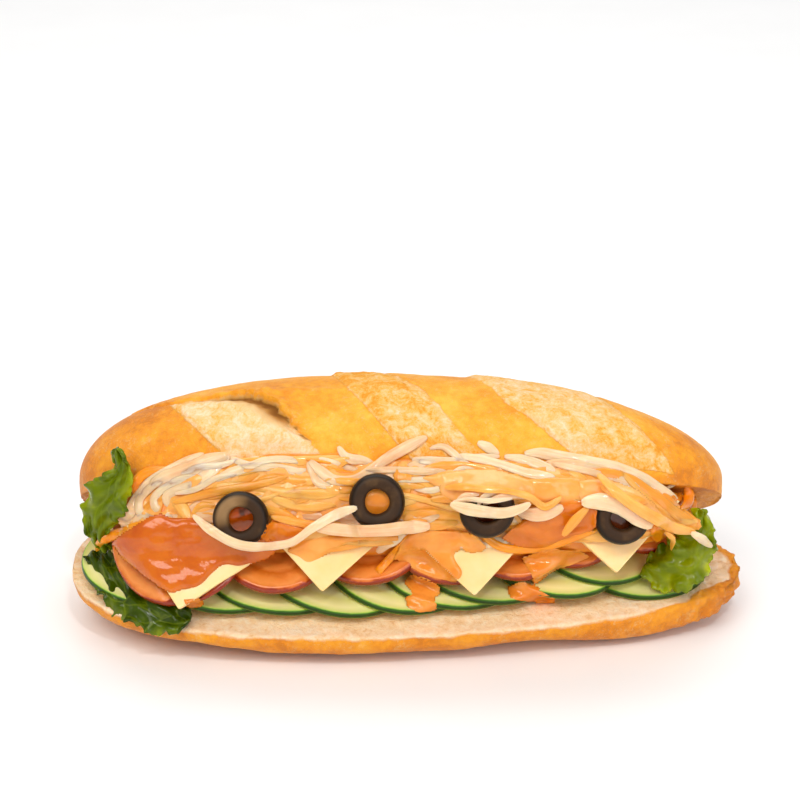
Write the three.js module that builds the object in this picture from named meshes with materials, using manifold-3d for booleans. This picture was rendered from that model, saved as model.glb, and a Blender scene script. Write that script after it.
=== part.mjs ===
// Banh mi sandwich: a short baguette slit along one side and opened like a book, with cucumber,
// tomato and cheese slices, lettuce, shredded daikon and carrot, and black olive rings.
//
// Millimetres. X runs along the loaf, Y points away from the open mouth and Z points up. The
// origin is on the flat of the loaf's base, below the middle of its length.

import * as THREE from 'three';
import { mergeVertices } from 'three/addons/utils/BufferGeometryUtils.js';
import Module from 'manifold-3d';

const wasm = await Module();
wasm.setup();

// ---------------------------------------------------------------- driving dimensions

const GAP = 0.35;                 // clearance between pieces that touch

// Base of the loaf.
const BASE_LEFT = 107;            // left tip, from the origin
const BASE_RIGHT = 109;           // right tip
const BASE_BROAD_X = -16;         // where the base is broadest
const BASE_FRONT = 41;            // depth in front of the origin
const BASE_BACK = 40;             // depth behind it
const CUT_FRONT_Z = 13.6;         // cut face near its front, where the base sags
const CUT_BACK_Z = 17;            // cut face near the hinge
const RIM_Z = 12.5;               // front rim, rounded down from the cut face
const TIP_LEFT_Z = 17.5;          // height of the two tips
const TIP_RIGHT_Z = 15.5;

// Lid of the loaf, in the closed pose, measured from its cut plane.
const LID_LEFT = 104.5;
const LID_RIGHT = 103;
const LID_HALF = 40;              // half its breadth at the broadest height
const LID_BULGE_Z = 9.5;          // height of that breadth
const LID_TIP_Z = 6;              // height of its two tips
const LID_CROWN_Z = 40.5;         // height of the crown
const HINGE_Y = 33;               // line the lid turns about
const HINGE_Z = 16;
const OPEN_ANGLE = 37 * Math.PI / 180;

// Three slashes across the crown. Each edge is given low on the front of the lid and again on
// top of its crown.
const SLASHES = [
  { left: [-57, -79], right: [-27, -65] },
  { left: [-0.5, -25], right: [20.5, -4] },
  { left: [50.5, 19.5], right: [82.5, 61] },
];
const SLASH_RISE = 1.2;           // bulge of the pale burst dough
const EAR_RISE = 1.6;             // lifted crust along its right edge
const SLASH_SLANT = 27;           // how far the lid's ribs run along the loaf up to its crown
const SLANT_SHARE = 0.72;         // share of that run that the lid's outline follows

// Slices.
const CUCUMBER_THICK = 2.1;
const CUCUMBER_SLOPE = 0.10;      // rise towards the hinge
const TOMATO_THICK = 4.2;
const CHEESE_THICK = 2.2;
const OLIVE_R = 8.6;
const OLIVE_HOLE_R = 3.9;
const OLIVE_THICK = 5;

// Shreds.
const SHRED_WIDE = 3.0;
const SHRED_THICK = 2.0;

// ---------------------------------------------------------------- small helpers

function seeded(seed) {
  let s = seed >>> 0;
  return () => {
    s = (s + 0x6d2b79f5) >>> 0;
    let t = s;
    t = Math.imul(t ^ (t >>> 15), t | 1);
    t ^= t + Math.imul(t ^ (t >>> 7), t | 61);
    return ((t ^ (t >>> 14)) >>> 0) / 4294967296;
  };
}

const mix = (a, b, t) => a + (b - a) * t;
const clamp = (v, lo, hi) => Math.min(hi, Math.max(lo, v));
const smooth = (lo, hi, v) => {
  const t = clamp((v - lo) / (hi - lo), 0, 1);
  return t * t * (3 - 2 * t);
};
const V = (x, y, z) => new THREE.Vector3(x, y, z);

function indexed(points, triangles) {
  const g = new THREE.BufferGeometry();
  const flat = new Float32Array(points.length * 3);
  points.forEach((p, i) => flat.set([p.x, p.y, p.z], i * 3));
  g.setAttribute('position', new THREE.BufferAttribute(flat, 3));
  g.setIndex(triangles);
  return g;
}

// Shared vertices merged, collapsed triangles dropped and the faces turned outwards.
function weld(geometry) {
  const bare = geometry.clone();
  for (const name of Object.keys(bare.attributes)) {
    if (name !== 'position') {
      bare.deleteAttribute(name);
    }
  }
  const merged = mergeVertices(bare, 1e-3);
  const p = merged.attributes.position;
  const idx = merged.index.array;
  const keep = [];
  let volume = 0;
  const a = V(0, 0, 0);
  const b = V(0, 0, 0);
  const c = V(0, 0, 0);
  for (let i = 0; i < idx.length; i += 3) {
    const [i0, i1, i2] = [idx[i], idx[i + 1], idx[i + 2]];
    if (i0 === i1 || i1 === i2 || i2 === i0) {
      continue;
    }
    keep.push(i0, i1, i2);
    a.fromBufferAttribute(p, i0);
    b.fromBufferAttribute(p, i1);
    c.fromBufferAttribute(p, i2);
    volume += a.dot(b.cross(c));
  }
  if (volume < 0) {
    for (let i = 0; i < keep.length; i += 3) {
      [keep[i + 1], keep[i + 2]] = [keep[i + 2], keep[i + 1]];
    }
  }
  merged.setIndex(keep);
  return merged;
}

function toSolid(geometry) {
  const g = weld(geometry);
  return new wasm.Manifold(new wasm.Mesh({
    numProp: 3,
    vertProperties: new Float32Array(g.attributes.position.array),
    triVerts: new Uint32Array(g.index.array),
  }));
}

function toGeometry(solid) {
  const m = solid.getMesh();
  const g = new THREE.BufferGeometry();
  g.setAttribute('position', new THREE.BufferAttribute(new Float32Array(m.vertProperties), 3));
  g.setIndex(Array.from(m.triVerts));
  return weld(g);
}

function largest(solid) {
  return solid.decompose().reduce((best, s) => (s.volume() > best.volume() ? s : best));
}

function carve(solid, cutters) {
  const cut = cutters.reduce((s, cutter) => s.subtract(cutter), solid);
  return largest(cut.simplify(0.06));
}

// A closed skin over rings of equal length, with a point closing each end.
function loft(rings, startPoint, endPoint) {
  const n = rings[0].length;
  const points = [startPoint, ...rings.flat(), endPoint];
  const last = points.length - 1;
  const tris = [];
  for (let j = 0; j < n; j += 1) {
    const k = (j + 1) % n;
    tris.push(0, 1 + k, 1 + j);
    tris.push(last, 1 + (rings.length - 1) * n + j, 1 + (rings.length - 1) * n + k);
    for (let i = 0; i < rings.length - 1; i += 1) {
      const a = 1 + i * n;
      const b = a + n;
      tris.push(a + j, a + k, b + k, a + j, b + k, b + j);
    }
  }
  return indexed(points, tris);
}

// ---------------------------------------------------------------- bread

// Share of full depth that the base keeps at station x: blunt on the left, longer on the right.
function basePlan(x) {
  const d = x - BASE_BROAD_X;
  if (d < 0) {
    const u = Math.min(1, -d / (BASE_LEFT + BASE_BROAD_X));
    return (1 - u ** 3) ** (1 / 2.6);
  }
  const u = Math.min(1, d / (BASE_RIGHT - BASE_BROAD_X));
  return (1 - u ** 1.3) ** (1 / 2.7);
}

const stations = (left, right, count) => {
  const list = [];
  for (let i = 1; i < count; i += 1) {
    const s = Math.sin((i / count - 0.5) * Math.PI);
    list.push(s < 0 ? s * left : s * right);
  }
  return list;
};

// Uneven torn crust near the right tip of the base.
const torn = (x, a) => smooth(82, 100, x) * 1.3 * Math.sin(x * 0.9 + a * 5);

// Height of the cut face at depth y, away from the tips.
const cutZ = (y) => mix(CUT_FRONT_Z, CUT_BACK_Z, clamp((y + 34) / 54, 0, 1));

// The underside lies flat at the back and lifts clear of the table in two places at the front.
const hollow = (x) => 2.9 * Math.exp(-(((x + 64) / 20) ** 2)) + 3.6 * Math.exp(-(((x - 38) / 17) ** 2));

function baseRing(x, grow) {
  const k = basePlan(x);
  const end = Math.abs(x) / (x < 0 ? BASE_LEFT : BASE_RIGHT);
  const tip = x < 0 ? TIP_LEFT_Z : TIP_RIGHT_Z;
  const front = BASE_FRONT * k + grow + torn(x, 0);
  const back = BASE_BACK * k + grow;
  const belly = x < 0 ? (1 - end ** 3) ** 0.65 : (1 - end ** 4) ** 0.5;
  const bellyBack = (1 - end ** 6) ** 0.5;
  const round = mix(0.62, 0.4, smooth(45, 80, x));
  const rimF = mix(RIM_Z, tip, end ** 3) + grow;
  const rimB = mix(CUT_BACK_Z - 1, tip, end ** 3) + grow;
  const ring = [];
  const steps = 14;
  for (let j = 0; j <= steps; j += 1) {
    const a = Math.PI * j / steps;
    const side = (1 - Math.cos(a)) / 2;
    const y = mix(-front, back, side);
    const rim = mix(rimF, rimB, side);
    const flat = smooth(0.2, 0.45, side);
    const rise = mix(tip - 2, hollow(x) * (1 - flat), mix(belly, bellyBack, flat));
    const floor = Math.max(0, rise - 1) - grow;
    const drop = Math.min(1, mix(1.1, 1.3, flat) * Math.sin(a) ** round);
    ring.push(V(x, y, Math.max(-grow, rim - (rim - floor) * drop)));
  }
  for (const y of [back * 0.75, back * 0.2, -front * 0.35, -front * 0.8]) {
    ring.push(V(x, y, mix(cutZ(y), tip, end ** 4) + grow));
  }
  return ring;
}

function base(grow) {
  const rings = stations(BASE_LEFT, BASE_RIGHT, 27).map((x) => baseRing(x, grow));
  const a = V(-BASE_LEFT - grow, 0, TIP_LEFT_Z);
  const b = V(BASE_RIGHT + grow, -4, TIP_RIGHT_Z);
  return toSolid(loft(rings, a, b));
}

// ---------------------------------------------------------------- lid

// Relief of the slashes at station x; climb is 0 low on the front of the lid and 1 on its crown.
function slashRelief(x, climb) {
  let h = 0;
  for (const slash of SLASHES) {
    const left = mix(slash.left[0], slash.left[1], climb);
    const right = mix(slash.right[0], slash.right[1], climb);
    const t = (2 * x - left - right) / (right - left);
    h += SLASH_RISE * smooth(-1.15, -0.7, t) * (1 - smooth(0.75, 1.0, t));
    h += EAR_RISE * smooth(0.95, 1.12, t) * (1 - smooth(1.15, 1.7, t));
  }
  return h;
}

// Breadth, height and bulge of the lid at station x.
function lidSize(x, grow) {
  const end = Math.min(0.9995, Math.abs(x) / (x < 0 ? LID_LEFT : LID_RIGHT));
  const wide = (1 - end ** 3.2) ** (1 / 2.8);
  // Underneath, the right end is blunter than the left.
  const under = (1 - end ** (x < 0 ? 3.2 : 8)) ** (1 / 2.8);
  return {
    half: LID_HALF * wide + grow,
    up: (LID_CROWN_Z - LID_BULGE_Z) * (1 - end ** 2.2) ** 0.51 + grow,
    down: 27.8 * under + grow,
    bulge: mix(LID_BULGE_Z, LID_TIP_Z, end ** 3),
  };
}

// Cross-section of the closed lid. It slants along the loaf as it climbs, as the slashes do.
function lidRing(s, grow) {
  const size = lidSize(s, grow);
  const lowest = Math.asin(Math.min(0.995, (size.bulge + grow) / size.down));
  const slant = SLASH_SLANT * (1 - (Math.abs(s) / (s < 0 ? LID_LEFT : LID_RIGHT)) ** 3);
  const ring = [];
  const steps = 18;
  for (let j = 0; j <= steps; j += 1) {
    const a = mix(-lowest, Math.PI + lowest, j / steps);
    const crown = clamp(Math.sin(a), 0, 1);
    const shift = -slant * crown;
    const x = s + shift;
    const climb = Math.cos(a) > 0 ? Math.sin(a) : 2 - Math.sin(a);
    const lift = slashRelief(x, climb) * smooth(0.02, 0.2, crown) * smooth(-0.7, -0.3, Math.cos(a));
    const swell = 1 + lift / 40;
    const at = lidSize(s + shift * SLANT_SHARE, grow);
    const y = -at.half * Math.cos(a) * swell;
    const z = at.bulge + (crown > 0 ? at.up * crown * swell : at.down * Math.sin(a));
    ring.push(V(x, y, z));
  }
  const rimY = size.half * Math.cos(lowest);
  const rimZ = size.bulge - size.down * Math.sin(lowest);
  ring.push(V(s, rimY * 0.7, rimZ));
  ring.push(V(s, 0, rimZ + 0.2));
  ring.push(V(s, -rimY * 0.7, rimZ));
  return ring;
}

// The lid turns up and back about the hinge line.
function opened(p) {
  const dy = p.y - HINGE_Y;
  const dz = p.z;
  const c = Math.cos(OPEN_ANGLE);
  const s = Math.sin(OPEN_ANGLE);
  return V(p.x, HINGE_Y + dy * c + dz * s, HINGE_Z - dy * s + dz * c);
}

function lid(grow) {
  const rings = stations(LID_LEFT, LID_RIGHT, 29).map((s) => lidRing(s, grow).map(opened));
  const a = opened(V(-LID_LEFT - grow, -4, LID_TIP_Z));
  const b = opened(V(LID_RIGHT + grow, -4, LID_TIP_Z));
  return toSolid(loft(rings, a, b));
}

const loaf = (grow) => base(grow).add(lid(grow));

// ---------------------------------------------------------------- slices

// A disc of radius r and thickness t with a slightly softened rim.
function disc(r, t, sides, grow) {
  const h = t / 2 + grow;
  const rim = r + grow;
  const soft = 0.35;
  const profile = [
    new THREE.Vector2(0, -h),
    new THREE.Vector2(rim - soft, -h),
    new THREE.Vector2(rim, 0),
    new THREE.Vector2(rim - soft, h),
    new THREE.Vector2(0, h),
  ];
  const g = new THREE.LatheGeometry(profile, sides);
  g.rotateX(Math.PI / 2);
  return g;
}

// Cucumber slices overlap along the mouth, listed in the order in which they are laid. Each
// comes to rest on the bread and on the slices before it.
const CUCUMBERS = [
  { x: -79, r: 24.3, inset: 4.4, tilt: 6.5 },
  { x: -58.5, r: 25.2, inset: 4.6, tilt: 9 },
  { x: -41, r: 24.6, inset: 5.0, tilt: 8.5 },
  { x: -21, r: 24.6, inset: 4.6, tilt: 9 },
  { x: -1.5, r: 24.4, inset: 5.4, tilt: 9 },
  { x: 14, r: 24.3, inset: 5.6, tilt: 9.5 },
  { x: 25.5, r: 24.0, inset: 5.4, tilt: 9 },
  { x: 77, r: 21.8, inset: 4.0, tilt: 1 },
  { x: 48, r: 22.6, inset: 4.6, tilt: 5.5 },
  { x: 62, r: 19.6, inset: 7.0, tilt: 6.5 },
];

CUCUMBERS.forEach((spec, i) => {
  spec.y = -BASE_FRONT * basePlan(spec.x) + spec.r + spec.inset;
  spec.slopeX = -Math.tan(THREE.MathUtils.degToRad(spec.tilt));
  spec.slopeY = CUCUMBER_SLOPE;
  const plane = (c, x, y) => c.slopeX * (x - c.x) + c.slopeY * (y - c.y);
  const stack = (CUCUMBER_THICK + GAP) * Math.hypot(1, spec.slopeX, spec.slopeY);
  let z = 0;
  for (let a = 0; a < 360; a += 6) {
    for (const share of [1, 0.8, 0.6, 0.4, 0.2]) {
      const x = spec.x + share * spec.r * Math.cos(THREE.MathUtils.degToRad(a));
      const y = spec.y + share * spec.r * Math.sin(THREE.MathUtils.degToRad(a));
      z = Math.max(z, cutZ(y) + stack / 2 + 0.35 - plane(spec, x, y));
      for (const under of CUCUMBERS.slice(0, i)) {
        if (Math.hypot(x - under.x, y - under.y) < under.r + 0.8) {
          z = Math.max(z, under.z + plane(under, x, y) + stack + 0.1 - plane(spec, x, y));
        }
      }
    }
  }
  spec.z = z;
});

function cucumber(spec, grow) {
  const g = disc(spec.r, CUCUMBER_THICK, 26, grow);
  g.rotateX(Math.atan(spec.slopeY));
  g.rotateY(-Math.atan(spec.slopeX));
  g.translate(spec.x, spec.y, spec.z);
  return toSolid(g);
}

// Tomato slices stand behind the cheese, leaning back on the cucumber.
const TOMATOES = [
  { x: -71, y: -37, z: 21.8, r: 25, lean: 46, yaw: -8, roll: -14 },
  { x: -40, y: -36, z: 25.6, r: 19, lean: 32, yaw: 6, roll: 0 },
  { x: -13, y: -31.5, z: 25.8, r: 19, lean: 32, yaw: -5, roll: 0 },
  { x: 13, y: -31.5, z: 26, r: 19, lean: 34, yaw: 6, roll: 3 },
  { x: 34, y: -28.5, z: 26, r: 18, lean: 32, yaw: -4, roll: 0 },
  { x: 53, y: -21.5, z: 26.6, r: 18, lean: 32, yaw: 5, roll: 0 },
  { x: 78, y: -13.5, z: 27.4, r: 17, lean: 34, yaw: 4, roll: 4 },
];

function leaning(g, spec) {
  g.rotateY(THREE.MathUtils.degToRad(spec.roll || 0));
  g.rotateX(THREE.MathUtils.degToRad(spec.lean));
  g.rotateZ(THREE.MathUtils.degToRad(spec.yaw));
  g.translate(spec.x, spec.y, spec.z);
  return g;
}

function tomato(spec, grow) {
  const g = disc(spec.r, TOMATO_THICK, 24, grow);
  g.translate(0, spec.r, 0);
  return toSolid(leaning(g, spec));
}

// Cheese slices hang point down over the tomato.
const CHEESES = [
  { x: -69, y: -39.2, z: 21.8, side: 31, lean: 58, yaw: -4, turn: -10 },
  { x: -25, y: -36.8, z: 26.8, side: 30, lean: 60, yaw: 2, turn: -4 },
  { x: 22, y: -36.8, z: 25.4, side: 30, lean: 60, yaw: 0, turn: 2.5 },
  { x: 66, y: -32, z: 30.7, side: 30, lean: 60, yaw: 6, turn: 0 },
];

function cheese(spec, grow) {
  const w = spec.side / Math.SQRT2;
  const e = grow * Math.SQRT2;
  const shape = new THREE.Shape();
  shape.moveTo(0, -e);
  shape.lineTo(w + e, w);
  shape.lineTo(w * 0.82 + grow, w * 1.12 + grow);
  shape.lineTo(-w * 0.82 - grow, w * 1.12 + grow);
  shape.lineTo(-w - e, w);
  const g = new THREE.ExtrudeGeometry(shape, {
    depth: CHEESE_THICK + grow * 2,
    bevelEnabled: false,
    curveSegments: 1,
  });
  g.translate(0, 0, -CHEESE_THICK / 2 - grow);
  g.rotateZ(THREE.MathUtils.degToRad(spec.turn));
  return toSolid(leaning(g, spec));
}

// Olive rings sit on the front of the heap, hole to the front.
const OLIVES = [
  { x: -49.6, y: -34.2, z: 50.7, lean: 67, yaw: -4 },
  { x: -8, y: -33, z: 56, lean: 66, yaw: 2 },
  { x: 25.6, y: -34, z: 53.6, lean: 70, yaw: 4 },
  { x: 67.2, y: -30.8, z: 49.4, lean: 70, yaw: 8 },
];

function olive(spec, grow) {
  const r = OLIVE_R + grow;
  const hole = OLIVE_HOLE_R - grow;
  const h = OLIVE_THICK / 2 + grow;
  const profile = [
    new THREE.Vector2(hole, -h + 0.5),
    new THREE.Vector2(r - 1.2, -h),
    new THREE.Vector2(r, 0),
    new THREE.Vector2(r - 1.2, h),
    new THREE.Vector2(hole, h - 0.5),
    new THREE.Vector2(hole, -h + 0.5),
  ];
  const g = new THREE.LatheGeometry(profile, 18);
  g.rotateX(Math.PI / 2);
  return toSolid(leaning(g, spec));
}

// ---------------------------------------------------------------- lettuce

// A thin ruffled leaf: a spine of a few points, broadening from the foot and waving towards
// both margins. It turns its face one way all along, and both faces are split into triangles
// alike.
const LEAVES = {
  lettuce_left: {
    spine: [V(-94, -13, 28), V(-96, -18, 36), V(-95, -20, 44), V(-91.5, -21, 52), V(-87, -21, 60),
      V(-88.5, -20, 68.5)],
    face: V(-0.15, -0.9, 0.4),
    widths: [8, 9, 14, 17, 7, 4],
    ruffle: 1.5,
    waves: 2.6,
    thick: 0.9,
    phase: 0.4,
  },
  lettuce_front_left: {
    spine: [V(-99.5, -6, 24.5), V(-94, -17, 22.6), V(-86, -27, 19.6), V(-76, -34, 17.6),
      V(-65.5, -36.5, 16.2)],
    face: V(-0.15, -0.55, 0.8),
    widths: [6, 11, 15, 14, 9],
    ruffle: 1.7,
    waves: 3.4,
    thick: 0.9,
    phase: 1.7,
  },
  lettuce_right: {
    spine: [V(77, -15, 24), V(82.5, -19.5, 25.5), V(88, -20.5, 28), V(92, -19, 32.5),
      V(94, -17.5, 39), V(93, -17, 45.5)],
    face: V(0.15, -0.8, 0.6),
    widths: [8, 15, 18, 14, 7, 3.5],
    ruffle: 2.2,
    waves: 3.0,
    thick: 0.9,
    phase: 2.6,
  },
};

function leaf(spec, grow) {
  const along = 10;
  const over = 6;
  const spine = new THREE.CatmullRomCurve3(spec.spine);
  const face = spec.face.clone().normalize();
  const grid = [];
  for (let i = 0; i <= along; i += 1) {
    const u = i / along;
    const w = u * (spec.widths.length - 1);
    const k = Math.min(spec.widths.length - 2, Math.floor(w));
    const half = mix(spec.widths[k], spec.widths[k + 1], w - k) / 2;
    const centre = spine.getPointAt(u);
    const forward = spine.getTangentAt(u);
    const side = forward.clone().cross(face).normalize();
    const normal = forward.clone().cross(side).normalize();
    const row = [];
    for (let j = 0; j <= over; j += 1) {
      const v = (j / over) * 2 - 1;
      const edge = Math.abs(v) ** 1.5;
      const wave = Math.sin(spec.phase + u * spec.waves * 2 * Math.PI + (v > 0 ? 1.3 : 0));
      const cup = 0.22 * half * (v * v - 0.5);
      const offset = spec.ruffle * edge * wave + cup;
      const frill = 1 + 0.09 * edge * Math.sin(spec.phase * 3 + u * spec.waves * 13);
      row.push({
        p: centre.clone()
          .addScaledVector(side, v * (half * frill + grow))
          .addScaledVector(forward, i === 0 ? -grow : i === along ? grow : 0)
          .addScaledVector(normal, offset),
        n: normal,
      });
    }
    grid.push(row);
  }
  const h = spec.thick / 2 + grow * 1.7;
  const upper = grid.flat().map((q) => q.p.clone().addScaledVector(q.n, h));
  const lower = grid.flat().map((q) => q.p.clone().addScaledVector(q.n, -h));
  const total = upper.length;
  const at = (i, j) => i * (over + 1) + j;
  const tris = [];
  for (let i = 0; i < along; i += 1) {
    for (let j = 0; j < over; j += 1) {
      const q = [at(i, j), at(i, j + 1), at(i + 1, j + 1), at(i + 1, j)];
      tris.push(q[0], q[1], q[2], q[0], q[2], q[3]);
      tris.push(total + q[0], total + q[2], total + q[1], total + q[0], total + q[3], total + q[2]);
    }
  }
  const border = [];
  for (let j = 0; j < over; j += 1) {
    border.push(at(0, j));
  }
  for (let i = 0; i < along; i += 1) {
    border.push(at(i, over));
  }
  for (let j = over; j > 0; j -= 1) {
    border.push(at(along, j));
  }
  for (let i = along; i > 0; i -= 1) {
    border.push(at(i, 0));
  }
  border.forEach((a, k) => {
    const b = border[(k + 1) % border.length];
    tris.push(a, total + b, b, a, total + a, total + b);
  });
  return toSolid(indexed([...upper, ...lower], tris));
}

// ---------------------------------------------------------------- shreds

// Front of the heap: its distance from the loaf's middle at each height, drawn in at the ends.
const WALL = [[16, -20], [24, -25], [34, -31], [45, -33], [57, -30], [66, -25.5], [72, -21]];

function wallY(x, z) {
  let i = 0;
  while (i < WALL.length - 2 && z > WALL[i + 1][0]) {
    i += 1;
  }
  const [z0, y0] = WALL[i];
  const [z1, y1] = WALL[i + 1];
  return y0 + (y1 - y0) * (z - z0) / (z1 - z0) + 16 * Math.abs(x / 100) ** 4;
}

const HEAP_LEFT = 92;
const HEAP_RIGHT = 96;
const HEAP_LOW = 32;

const heapTop = (x) => mix(66, 42, Math.min(1, Math.abs(x / 98) ** 3));

function heapRing(x) {
  const end = Math.abs(x) / (x < 0 ? HEAP_LEFT : HEAP_RIGHT);
  const k = (1 - end ** 5) ** 0.5;
  const top = heapTop(x);
  const ring = [];
  const steps = 6;
  for (let j = 0; j <= steps; j += 1) {
    const z = mix(HEAP_LOW, top, j / steps);
    ring.push(V(x, wallY(x, z) + 2 + (1 - k) * 14, z));
  }
  ring.push(V(x, wallY(x, top) + 7, top + 1));
  ring.push(V(x, wallY(x, top) + 10, top - 6));
  ring.push(V(x, mix(-10, 5, k), 37));
  ring.push(V(x, mix(-12, 0, k), HEAP_LOW));
  return ring;
}

function heapCore() {
  const rings = stations(HEAP_LEFT, HEAP_RIGHT, 14).map(heapRing);
  const middle = (ring) => {
    const c = V(0, 0, 0);
    ring.forEach((p) => c.add(p));
    return c.multiplyScalar(1 / ring.length);
  };
  const a = middle(rings[0]);
  const b = middle(rings[rings.length - 1]);
  a.x = -HEAP_LEFT;
  b.x = HEAP_RIGHT;
  return toSolid(loft(rings, a, b));
}

// Shreds that lie over the front, each through a few places (along the loaf, height, lift).
const LONG_SHREDS = [
  [[-66, 51, 0], [-58, 45, 1.5], [-49, 40.5, 3.2], [-37, 41, 2.5], [-27, 48, 1], [-15, 53, 0]],
  [[6, 71, 0.5], [-4, 67, 1], [-13, 64, 1], [-23, 62, 0]],
  [[-78, 55, 0], [-70, 61, 1], [-62, 65, 1], [-52, 67, 0]],
  [[-84, 43, 0], [-79, 52, 1], [-71, 59, 1.5], [-63, 61, 1], [-60, 57, 0]],
  [[-84, 52, 0], [-84, 58, 1], [-80, 61, 1], [-72, 62, 0]],
  [[-92, 35, 1], [-88, 38, 1], [-82, 42, 1], [-74, 45, 0]],
  [[24, 42, 0.5], [36, 39, 2], [48, 42, 2], [62, 46, 0]],
  [[-11, 29, 2.5], [-5, 36, 2.5], [2, 44, 0]],
  [[-20, 52, 0], [-7, 47, 1], [7, 47, 1], [17, 50, 0]],
  [[13, 54, 0.5], [25, 48, 5.5], [38, 53, 0]],
  [[34, 67, 0], [60, 64, 1], [77, 56, 1], [90, 43, 0.5]],
  [[46, 61, 0], [62, 54, 1], [75, 46, 1.5], [94, 34, 1.5]],
  [[-45, 66, 0], [-25, 67, 1.2], [-5, 62, 1.2], [12, 60, 0]],
  [[-40, 62, 0], [-20, 57, 1], [0, 63, 1], [22, 66, 0]],
  [[90, 57, 0.5], [92, 50, 1], [91, 42, 0.5]],
  [[10, 70, 0], [20, 66, 1], [36, 68, 1], [54, 64, 0]],
];

function shred(places, wide, thick) {
  const pts = places.map(([x, z, lift]) => V(x, wallY(x, z) + 1.2 - lift, z));
  const path = new THREE.CatmullRomCurve3(pts);
  const shape = new THREE.Shape();
  shape.moveTo(-thick / 2, -wide / 2);
  shape.lineTo(thick / 2, -wide / 2);
  shape.lineTo(thick / 2, wide / 2);
  shape.lineTo(-thick / 2, wide / 2);
  return new THREE.ExtrudeGeometry(shape, {
    steps: places.length,
    extrudePath: path,
  });
}

function heap(neighbours) {
  const random = seeded(41);
  const pieces = [heapCore()];
  for (const places of LONG_SHREDS) {
    pieces.push(toSolid(shred(places, SHRED_WIDE, SHRED_THICK)));
  }
  const count = 18;
  for (let i = 0; i < count; i += 1) {
    const x = mix(-76, 74, (i + random()) / count);
    const z = mix(40, heapTop(x) - 1, random());
    const length = mix(14, 26, random());
    const slope = mix(-0.45, 0.45, random());
    const sag = mix(-2.5, 2.5, random());
    const places = [-0.5, 0, 0.5].map((t) => {
      const px = x + t * length;
      const pz = clamp(z + slope * t * length + (t === 0 ? sag : 0), 36, heapTop(px) + 1.5);
      return [px, pz, t === 0 ? 1.4 : 0.2];
    });
    pieces.push(toSolid(shred(places, mix(2, SHRED_WIDE, random()), SHRED_THICK)));
  }
  return carve(wasm.Manifold.union(pieces), neighbours);
}

// ---------------------------------------------------------------- the sandwich

const group = new THREE.Group();

const finish = (color, roughness) => new THREE.MeshStandardMaterial({ color, roughness, metalness: 0 });
const CRUST = finish('#e39a36', 0.7);
const CUCUMBER = finish('#c9cf7a', 0.35);
const TOMATO = finish('#c8501e', 0.3);
const CHEESE = finish('#f8d98f', 0.45);
const OLIVE = finish('#2e221a', 0.35);
const LETTUCE = finish('#6f8a12', 0.45);
const SHREDS = finish('#f3c48c', 0.4);

function put(name, solid, material) {
  const mesh = new THREE.Mesh(toGeometry(solid), material);
  mesh.name = name;
  group.add(mesh);
}

const grown = [];

// Each slice gives way to the pieces placed before it.
function place(prefix, specs, make, material) {
  specs.forEach((spec, i) => {
    put(`${prefix}_${i + 1}`, carve(make(spec, 0), grown), material);
    grown.push(make(spec, GAP));
  });
}

put('bread', loaf(0), CRUST);
grown.push(loaf(GAP));
CUCUMBERS.forEach((spec, i) => put(`cucumber_${i + 1}`, cucumber(spec, 0), CUCUMBER));
CUCUMBERS.forEach((spec) => grown.push(cucumber(spec, GAP)));
place('cheese', CHEESES, cheese, CHEESE);
place('olive', OLIVES, olive, OLIVE);
place('tomato', TOMATOES, tomato, TOMATO);
for (const [name, spec] of Object.entries(LEAVES)) {
  put(name, carve(leaf(spec, 0), grown), LETTUCE);
  grown.push(leaf(spec, GAP).add(leaf(spec, 0)));
}
put('shreds', heap(grown), SHREDS);

export default group;
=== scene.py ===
"""Banh mi sandwich: the looks of a slit baguette with cucumber, tomato and cheese slices, lettuce,
shredded daikon and carrot, and black olive rings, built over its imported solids.

Sizes are in millimetres until a mesh is made. X runs along the loaf, Y away from its open mouth
and Z up. The heap of shreds is laid in front coordinates: along the loaf, up the front of the
heap, and out towards someone who looks down on it at 28 degrees.
"""

import itertools
import math

import bpy
import numpy as np
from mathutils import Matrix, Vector
from mathutils.bvhtree import BVHTree


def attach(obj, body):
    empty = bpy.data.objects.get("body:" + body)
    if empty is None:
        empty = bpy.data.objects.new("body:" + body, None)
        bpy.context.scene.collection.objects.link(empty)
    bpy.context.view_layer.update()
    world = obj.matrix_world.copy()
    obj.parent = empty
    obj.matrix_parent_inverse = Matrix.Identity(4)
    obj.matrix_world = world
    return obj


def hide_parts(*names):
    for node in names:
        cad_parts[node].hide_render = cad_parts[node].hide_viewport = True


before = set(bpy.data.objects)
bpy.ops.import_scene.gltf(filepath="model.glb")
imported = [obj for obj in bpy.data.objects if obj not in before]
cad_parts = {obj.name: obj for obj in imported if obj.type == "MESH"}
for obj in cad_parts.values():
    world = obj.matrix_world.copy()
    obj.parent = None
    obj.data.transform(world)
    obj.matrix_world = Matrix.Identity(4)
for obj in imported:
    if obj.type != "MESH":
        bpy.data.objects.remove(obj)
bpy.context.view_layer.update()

MM = 0.001

# ---------------------------------------------------------------- sizes, as the solids have them

BASE_LEFT, BASE_RIGHT, BASE_BROAD_X = 107, 109, -16
BASE_FRONT, BASE_BACK = 41, 40
CUT_FRONT_Z, CUT_BACK_Z, RIM_Z = 13.6, 17, 12.5
TIP_LEFT_Z, TIP_RIGHT_Z = 17.5, 15.5
LID_LEFT, LID_RIGHT, LID_HALF = 104.5, 103, 40
LID_BULGE_Z, LID_TIP_Z, LID_CROWN_Z, LID_DEEP = 9.5, 6, 40.5, 27.8
HINGE_Y, HINGE_Z, OPEN_ANGLE = 33, 16, math.radians(37)
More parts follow.
